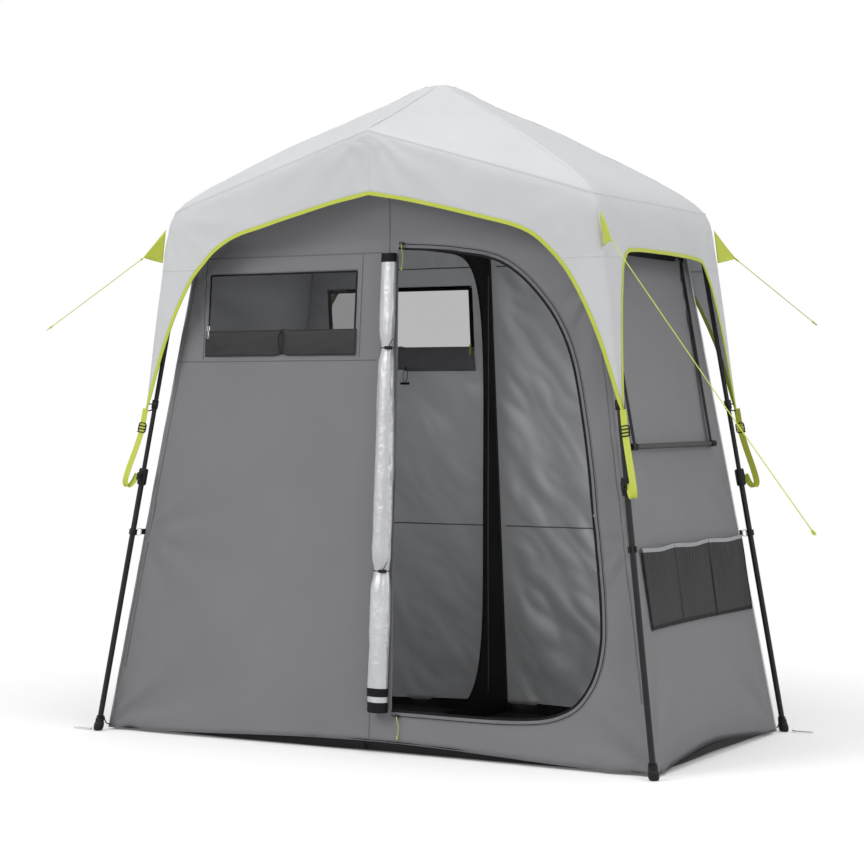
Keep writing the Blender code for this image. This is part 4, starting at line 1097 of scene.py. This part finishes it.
dress("towel_bar", steel, 0.001)
bar_low, bar_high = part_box("towel_bar")
bar = Vector(((bar_low.x + bar_high.x) / 2, 0, (bar_low.z + bar_high.z) / 2))
pivot = Vector((side_face(RAIL_STRAP_Y + RAIL_STRAP_WIDTH, RAIL_PIVOT_Z) + RAIL_CLEAR, 0, RAIL_PIVOT_Z))
band_points = [Vector((side_face(y, RAIL_BAND_Z) + RAIL_CLEAR, y, RAIL_BAND_Z))
               for y in (mix(-RAIL_HALF, RAIL_HALF, i / 16) for i in range(17))]
rail_band = new_piece("rail_band_webbing", *tape(band_points, [Vector((0, 0, 1))] * 17, RAIL_BAND_WIDTH, WEBBING),
                      [black_webbing], smooth=False)
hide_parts("rail_patch")
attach(rail_band, "rail_band")
lean = (bar - pivot).normalized()
loop_first = math.atan2(-lean.z, -lean.x)
for end, sy in (("front", -1), ("back", 1)):
    route = [pivot + lean * (bar - pivot).length * i / 12 * 0.982 for i in range(13)]
    route += [bar + RAIL_LOOP * Vector((math.cos(loop_first + a), 0, math.sin(loop_first + a)))
              for a in (math.radians(12 + 14 * i) for i in range(25))]
    route = [p + Vector((0, sy * RAIL_STRAP_Y, 0)) for p in route]
    shape = tape(route, [Vector((0, 1, 0))] * len(route), RAIL_STRAP_WIDTH, WEBBING)
    strap = new_piece("rail_strap_webbing_" + end, *shape, [black_webbing], smooth=False)
    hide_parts("rail_strap_" + end)
    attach(strap, "towel_rail")
    length = sum((b - a).length for a, b in zip(route, route[1:]))
    cap_line = [bar + Vector((0, sy * (RAIL_HALF - 0.012 + d), 0)) for d in (0, 0.0005, 0.012, 0.0145)]
    cap = new_piece("rail_cap_" + end, *wire(cap_line, RAIL_CAP, 20), [nylon])
    ease_edges(cap, 0.0012)
    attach(cap, "towel_rail")


# Mesh pockets
# Coarse black mesh, gathered by a pale elastic along its top.
# It is sewn to the right wall along its foot, its ends and two lines between, under black tape.
POCKET_FOOT, POCKET_TOP = 0.437, 0.695
POCKET_FRONT, POCKET_BACK = -0.385, 0.475
POCKET_OPEN = 0.016
POCKET_COLUMNS, POCKET_ROWS = 180, 12
POCKET_TAPES = (0.004, 1 / 3, 2 / 3, 0.996)


def pocket_point(u, v, lift=0.0):
    """Point on the three pockets, which belly out and are pleated: u along the wall, v up from their foot."""
    y, z = mix(POCKET_FRONT, POCKET_BACK, u), mix(POCKET_FOOT, POCKET_TOP, v)
    belly = POCKET_OPEN * v * (0.65 - 0.35 * math.cos(6 * math.pi * u))
    belly *= math.sin(math.pi * u) ** 0.3 if 0 < u < 1 else 0
    pleat = 0.0016 * (1 + math.sin(2 * math.pi * 44 * u + 2 * ripple(Vector((u * 9, v, 0)), 3, 1)))
    out = side_face(y, z) + 0.0014 + belly + pleat * (0.25 + 0.75 * v) + lift
    return Vector((out, y, z - 0.004 * math.sin(3 * math.pi * u) ** 2 * v))


def pocket_mesh():
    """Coarse knitted mesh: black, half open, with rows of holes 4 mm apart that show as a faint grid."""
    material, tree, shader, place = start_material("pocket_mesh", 0.7)
    shader.inputs["Alpha"].default_value = 0.86
    rows = add_node(tree, "ShaderNodeTexWave", {"Vector": place, "Scale": WAVE_PERIOD / 0.004}, bands_direction="Y")
    add_node(tree, "ShaderNodeMix", {0: rows.outputs["Fac"], 6: srgb("19191B"), 7: srgb("343437")},
             shader.inputs["Base Color"], 2, data_type="RGBA")
    cross = add_node(tree, "ShaderNodeTexWave", {"Vector": place, "Scale": WAVE_PERIOD / 0.004}, bands_direction="Z")
    add_node(tree, "ShaderNodeBump", {"Height": cross.outputs["Fac"], "Distance": 0.0006, "Strength": 0.6},
             shader.inputs["Normal"])
    return material


net = pocket_mesh()
# Ribbed pale grey elastic, duller than the canopy.
elastic = woven_cloth("pale_elastic", "8F9193", "A6A8AA", 0.6, 2.0, 0.4)
pocket_verts = [pocket_point(i / POCKET_COLUMNS, k / POCKET_ROWS)
                for k in range(POCKET_ROWS + 1) for i in range(POCKET_COLUMNS + 1)]
pockets = thicken("mesh_pockets", pocket_verts, grid_faces(POCKET_COLUMNS, POCKET_ROWS), 0.0008, net, net)
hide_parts("mesh_organizer")
fold_with_frame(pockets)
top_line = [pocket_point(i / POCKET_COLUMNS, 0.975, 0.0006) for i in range(POCKET_COLUMNS + 1)]
pocket_elastic = soft_piece("pocket_elastic", tape(top_line, [Vector((0, 0, 1))] * len(top_line), 0.013, 0.0018),
                            elastic)
sewn = []
for u in POCKET_TAPES:
    line = [pocket_point(u, v / 10, 0.0008) for v in range(11)]
    sewn.append(tape(line, [Vector((0, 1, 0))] * 11, 0.007, 0.0014))
foot_line = [pocket_point(i / 60, 0.02, 0.0004) for i in range(61)]
sewn.append(tape(foot_line, [Vector((0, 0, 1))] * 61, 0.010, 0.0014))
pocket_tapes = soft_piece("pocket_tapes", gather(sewn), black_webbing)


# Corner straps and leg clips
# Lime webbing sewn to each canopy tip, run through a ladder-lock buckle and looped back to the leg's lock.
# A moulded clip takes the tip to the leg, a clip, ring and strap on the lower leg hold the wall, a tether joins the
# wall's corner to the foot, and a plated wire peg lies at three of the feet.
FOOT = (1.065, 0.575)
STRAP_WIDTH = 0.022
STRAP_ROUTE = ((-0.016, 0.002), (0.03, 0.002), (0.07, 0.003), (0.13, 0.012), (0.20, 0.025), (0.245, 0.029),
               (0.262, 0.018), (0.250, 0.002), (0.218, -0.009))
BUCKLE_BARS = ((-0.006, 0.0022), (0.005, 0.0026), (0.016, 0.0030))
TIP_CLIP_Z, WALL_CLIP_Z, ANKLE_Z = 1.150, 0.700, 0.049
WALL_STRAP_WIDTH = 0.020
TETHER_RADIUS = 0.0022


def leg_point(sx, sy, z):
    """Point on a leg's centre line at a height."""
    share = z / ELBOW[2]
    return Vector((sx * mix(FOOT[0], ELBOW[0], share), sy * mix(FOOT[1], ELBOW[1], share), z))


def open_collar(middle, axis, out, inner, outer, height, mouth):
    """A clip round a tube; mouth is the angle that it leaves open away from out."""
    out = (out - axis * axis.dot(out)).normalized()
    across = axis.cross(out)
    verts, faces = [], []
    for i in range(25):
        a = mix(-math.pi + mouth / 2, math.pi - mouth / 2, i / 24)
        ray = out * math.cos(a) + across * math.sin(a)
        verts += [middle + ray * r + axis * h for r, h in
                  ((inner, -height / 2), (outer, -height / 2), (outer, height / 2), (inner, height / 2))]
    for i in range(24):
        faces += [(4 * i + k, 4 * i + (k + 1) % 4, 4 * i + 4 + (k + 1) % 4, 4 * i + 4 + k) for k in range(4)]
    faces += [(3, 2, 1, 0), (96, 97, 98, 99)]
    return verts, faces


def flat_loop(middle, first, second, half_first, half_second, radius):
    """A round-cornered wire frame in the plane of two directions."""
    points = []
    for i in range(28):
        a = 2 * math.pi * i / 28
        points.append(middle + first * half_first * rounded(math.cos(a)) + second * half_second * rounded(math.sin(a)))
    return wire(points, radius, 8, True)


def hard_fitting(name, shape, material, body, ease):
    """A fitting that moves with a part of the frame, its edges eased where ease is more than 0."""
    piece = new_piece(name, *shape, [material])
    if ease:
        work = bmesh.new()
        work.from_mesh(piece.data)
        bmesh.ops.recalc_face_normals(work, faces=work.faces)
        work.to_mesh(piece.data)
        work.free()
        ease_edges(piece, ease)
    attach(piece, body)
    return piece


for corner, (sx, sy) in CORNERS.items():
    out = Vector((sx, sy, 0)).normalized()
    down = (leg_point(sx, sy, 0) - leg_point(sx, sy, ELBOW[2])).normalized()
    across = (Vector((1, 0, 0)) - down * down.x).normalized()
    tip = Vector((sx * TIP[0], sy * TIP[1], TIP[2]))
    route = smooth_line([tip + down * d + out * o for d, o in STRAP_ROUTE], 6)
    strap = new_piece("corner_strap_" + corner, *tape(route, [across] * len(route), STRAP_WIDTH, WEBBING), [lime],
                      smooth=False)
    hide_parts("canopy_strap_" + corner)
    fold_with_frame(strap)
    length = sum((b - a).length for a, b in zip(route, route[1:]))
    middle = tip + down * 0.052 + out * 0.002
    parts = [flat_loop(middle, across, down, 0.0150, 0.0165, 0.0024)]
    for d, o in BUCKLE_BARS:
        parts.append(wire([middle + across * a + down * d + out * o for a in (-0.0145, 0, 0.0145)], 0.0022))
    soft_piece("ladder_lock_" + corner, gather(parts), nylon, True)
    seat = leg_point(sx, sy, TIP_CLIP_Z)
    hook = seat + (tip - leg_point(sx, sy, TIP[2])) * 0.62 + down * 0.010
    parts = [open_collar(seat, down, out, 0.0083, 0.0125, 0.030, 1.5),
             flat_loop(hook, out, down, 0.0100, 0.0120, 0.0022)]
    soft_piece("tip_clip_" + corner, gather(parts), nylon, True)
    seat = leg_point(sx, sy, WALL_CLIP_Z)
    wall_corner = Vector((sx * (wall_x(WALL_CLIP_Z) - 0.003), sy * (wall_y(WALL_CLIP_Z) - 0.003), WALL_CLIP_Z))
    inward = (wall_corner - seat).normalized()
    collar = open_collar(seat, down, inward, 0.0101, 0.0145, 0.020, 1.3)
    hard_fitting("wall_clip_" + corner, collar, nylon, "lower_" + corner, 0.0008)
    d_ring = flat_loop(seat + inward * 0.023, inward, down, 0.0085, 0.0115, 0.0018)
    hard_fitting("wall_ring_" + corner, d_ring, nickel, "lower_" + corner, 0)
    band = [mix(seat + inward * 0.029, wall_corner, i / 6) for i in range(7)]
    wall_strap = soft_piece("wall_strap_" + corner, tape(band, [down] * 7, WALL_STRAP_WIDTH, WEBBING), black_webbing)
    base = leg_point(sx, sy, 0)
    ankle = leg_point(sx, sy, ANKLE_Z)
    neck = [ankle + Vector((0.0122 * math.cos(a), 0.0122 * math.sin(a), 0)) for a in
            (2 * math.pi * i / 24 for i in range(24))]
    start = Vector((sx * 1.050, sy * 0.524, 0.014))
    tether = smooth_line([start, mix(start, base, 0.35) + Vector((0, 0, 0.014)),
                          ankle + Vector((-sx * 0.006, -sy * 0.011, 0))], 6)
    hard_fitting("foot_tether_" + corner, gather([wire(neck, TETHER_RADIUS, 8, True), wire(tether, TETHER_RADIUS)]),
                 black_webbing, "lower_" + corner, 0)
    if corner != "front_right":
        shank = base + Vector((sx * 0.070, 0, 0.0034))
        peg = [flat_loop(shank, Vector((sx, 0, 0)), Vector((0, 1, 0)), 0.036, 0.0055, 0.0016)]
        hook = [base + Vector((sx * (0.029 + 0.004 * i), 0.003 * math.sin(i * 1.1), 0.0042)) for i in range(5)]
        hard_fitting("peg_" + corner, gather(peg + [wire(hook, 0.0034)]), nickel, "lower_" + corner, 0)


# Guy tabs and lines
# Doubled lime tape sewn to the canopy's corners as triangles. A limp braided cord is tied to three of them and held
# taut by something outside the picture, so each ends in a tied loop there. Tabs and cords go with the cloth.
TAB_Z, TAB_RISE, TAB_DROP, TAB_REACH = 1.667, 0.096, 0.020, 0.056
GUY_ROUTES = {
    "front_left": [(-1.020, -0.632, 1.541), (-1.153, -0.743, 1.409)],
    "front_right": [(1.220, -0.832, 1.387), (1.560, -1.149, 1.095), (1.896, -1.486, 0.826)],
    "back_right": [(1.010, 0.622, 1.552), (1.131, 0.721, 1.432)],
}
GUY_DIAMETER = 0.003


def corner_fold(sx, sy, z):
    """Point on the canopy's corner between eave and tip."""
    share = (EAVE[2] - z) / (EAVE[2] - TIP[2])
    return Vector((sx * mix(EAVE[0], TIP[0], share), sy * mix(EAVE[1], TIP[1], share), z))


def tab_point(sx, sy, u, v, lift):
    """Point on a guy tab: u from its sewn edge to its nose, v up its height."""
    out = Vector((sx, sy, 0)).normalized()
    z = TAB_Z + (TAB_RISE if v > 0 else TAB_DROP) * v
    base = corner_fold(sx, sy, z) - out * 0.010
    nose = corner_fold(sx, sy, TAB_Z) + out * TAB_REACH + Vector((0, 0, 0.004 * v))
    curl = 0.004 * math.sin(math.pi * u) * v + lift
    return base.lerp(nose, u) + Vector((-out.y, out.x, 0)) * curl


def tied_loop(place, along, size):
    """A small tied loop at the end of a cord: a ring and the knot that closes it."""
    side = along.cross(Vector((0, 0, 1))).normalized()
    ring_points = [place + along * size * (1 - math.cos(a)) + side * size * 0.6 * math.sin(a)
                   for a in (2 * math.pi * i / 20 for i in range(20))]
    return gather([wire(ring_points, GUY_DIAMETER / 2, 8, True),
                   wire([place + along * d for d in (-0.006, -0.004, 0.002, 0.004)], 0.0034, 10)])


for corner, (sx, sy) in CORNERS.items():
    verts = [tab_point(sx, sy, i / 10, mix(-1, 1, k / 12), 0) for k in range(13) for i in range(11)]
    tab = thicken("guy_tab_cloth_" + corner, verts, grid_faces(10, 12), 0.0020, lime, lime)
    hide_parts("guy_tab_" + corner)
    fold_with_frame(tab)
for corner, ends in GUY_ROUTES.items():
    sx, sy = CORNERS[corner]
    start = corner_fold(sx, sy, TAB_Z) + Vector((sx, sy, 0)).normalized() * TAB_REACH
    route = [start + (Vector(ends[0]) - start).normalized() * 0.0018] + [Vector(p) for p in ends]
    cord, line, length = add_cord("guy_cord_" + corner, route, GUY_DIAMETER, cord_cloth)
    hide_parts("guy_line_" + corner)
    fold_with_frame(cord)
    along = (line[-1] - line[-2]).normalized()
    parts = [tied_loop(line[-1] - along * 0.016, along, 0.008), tied_loop(line[0] + along * 0.010, -along, 0.007)]
    knots = soft_piece("guy_knots_" + corner, gather(parts), cord_cloth, True)
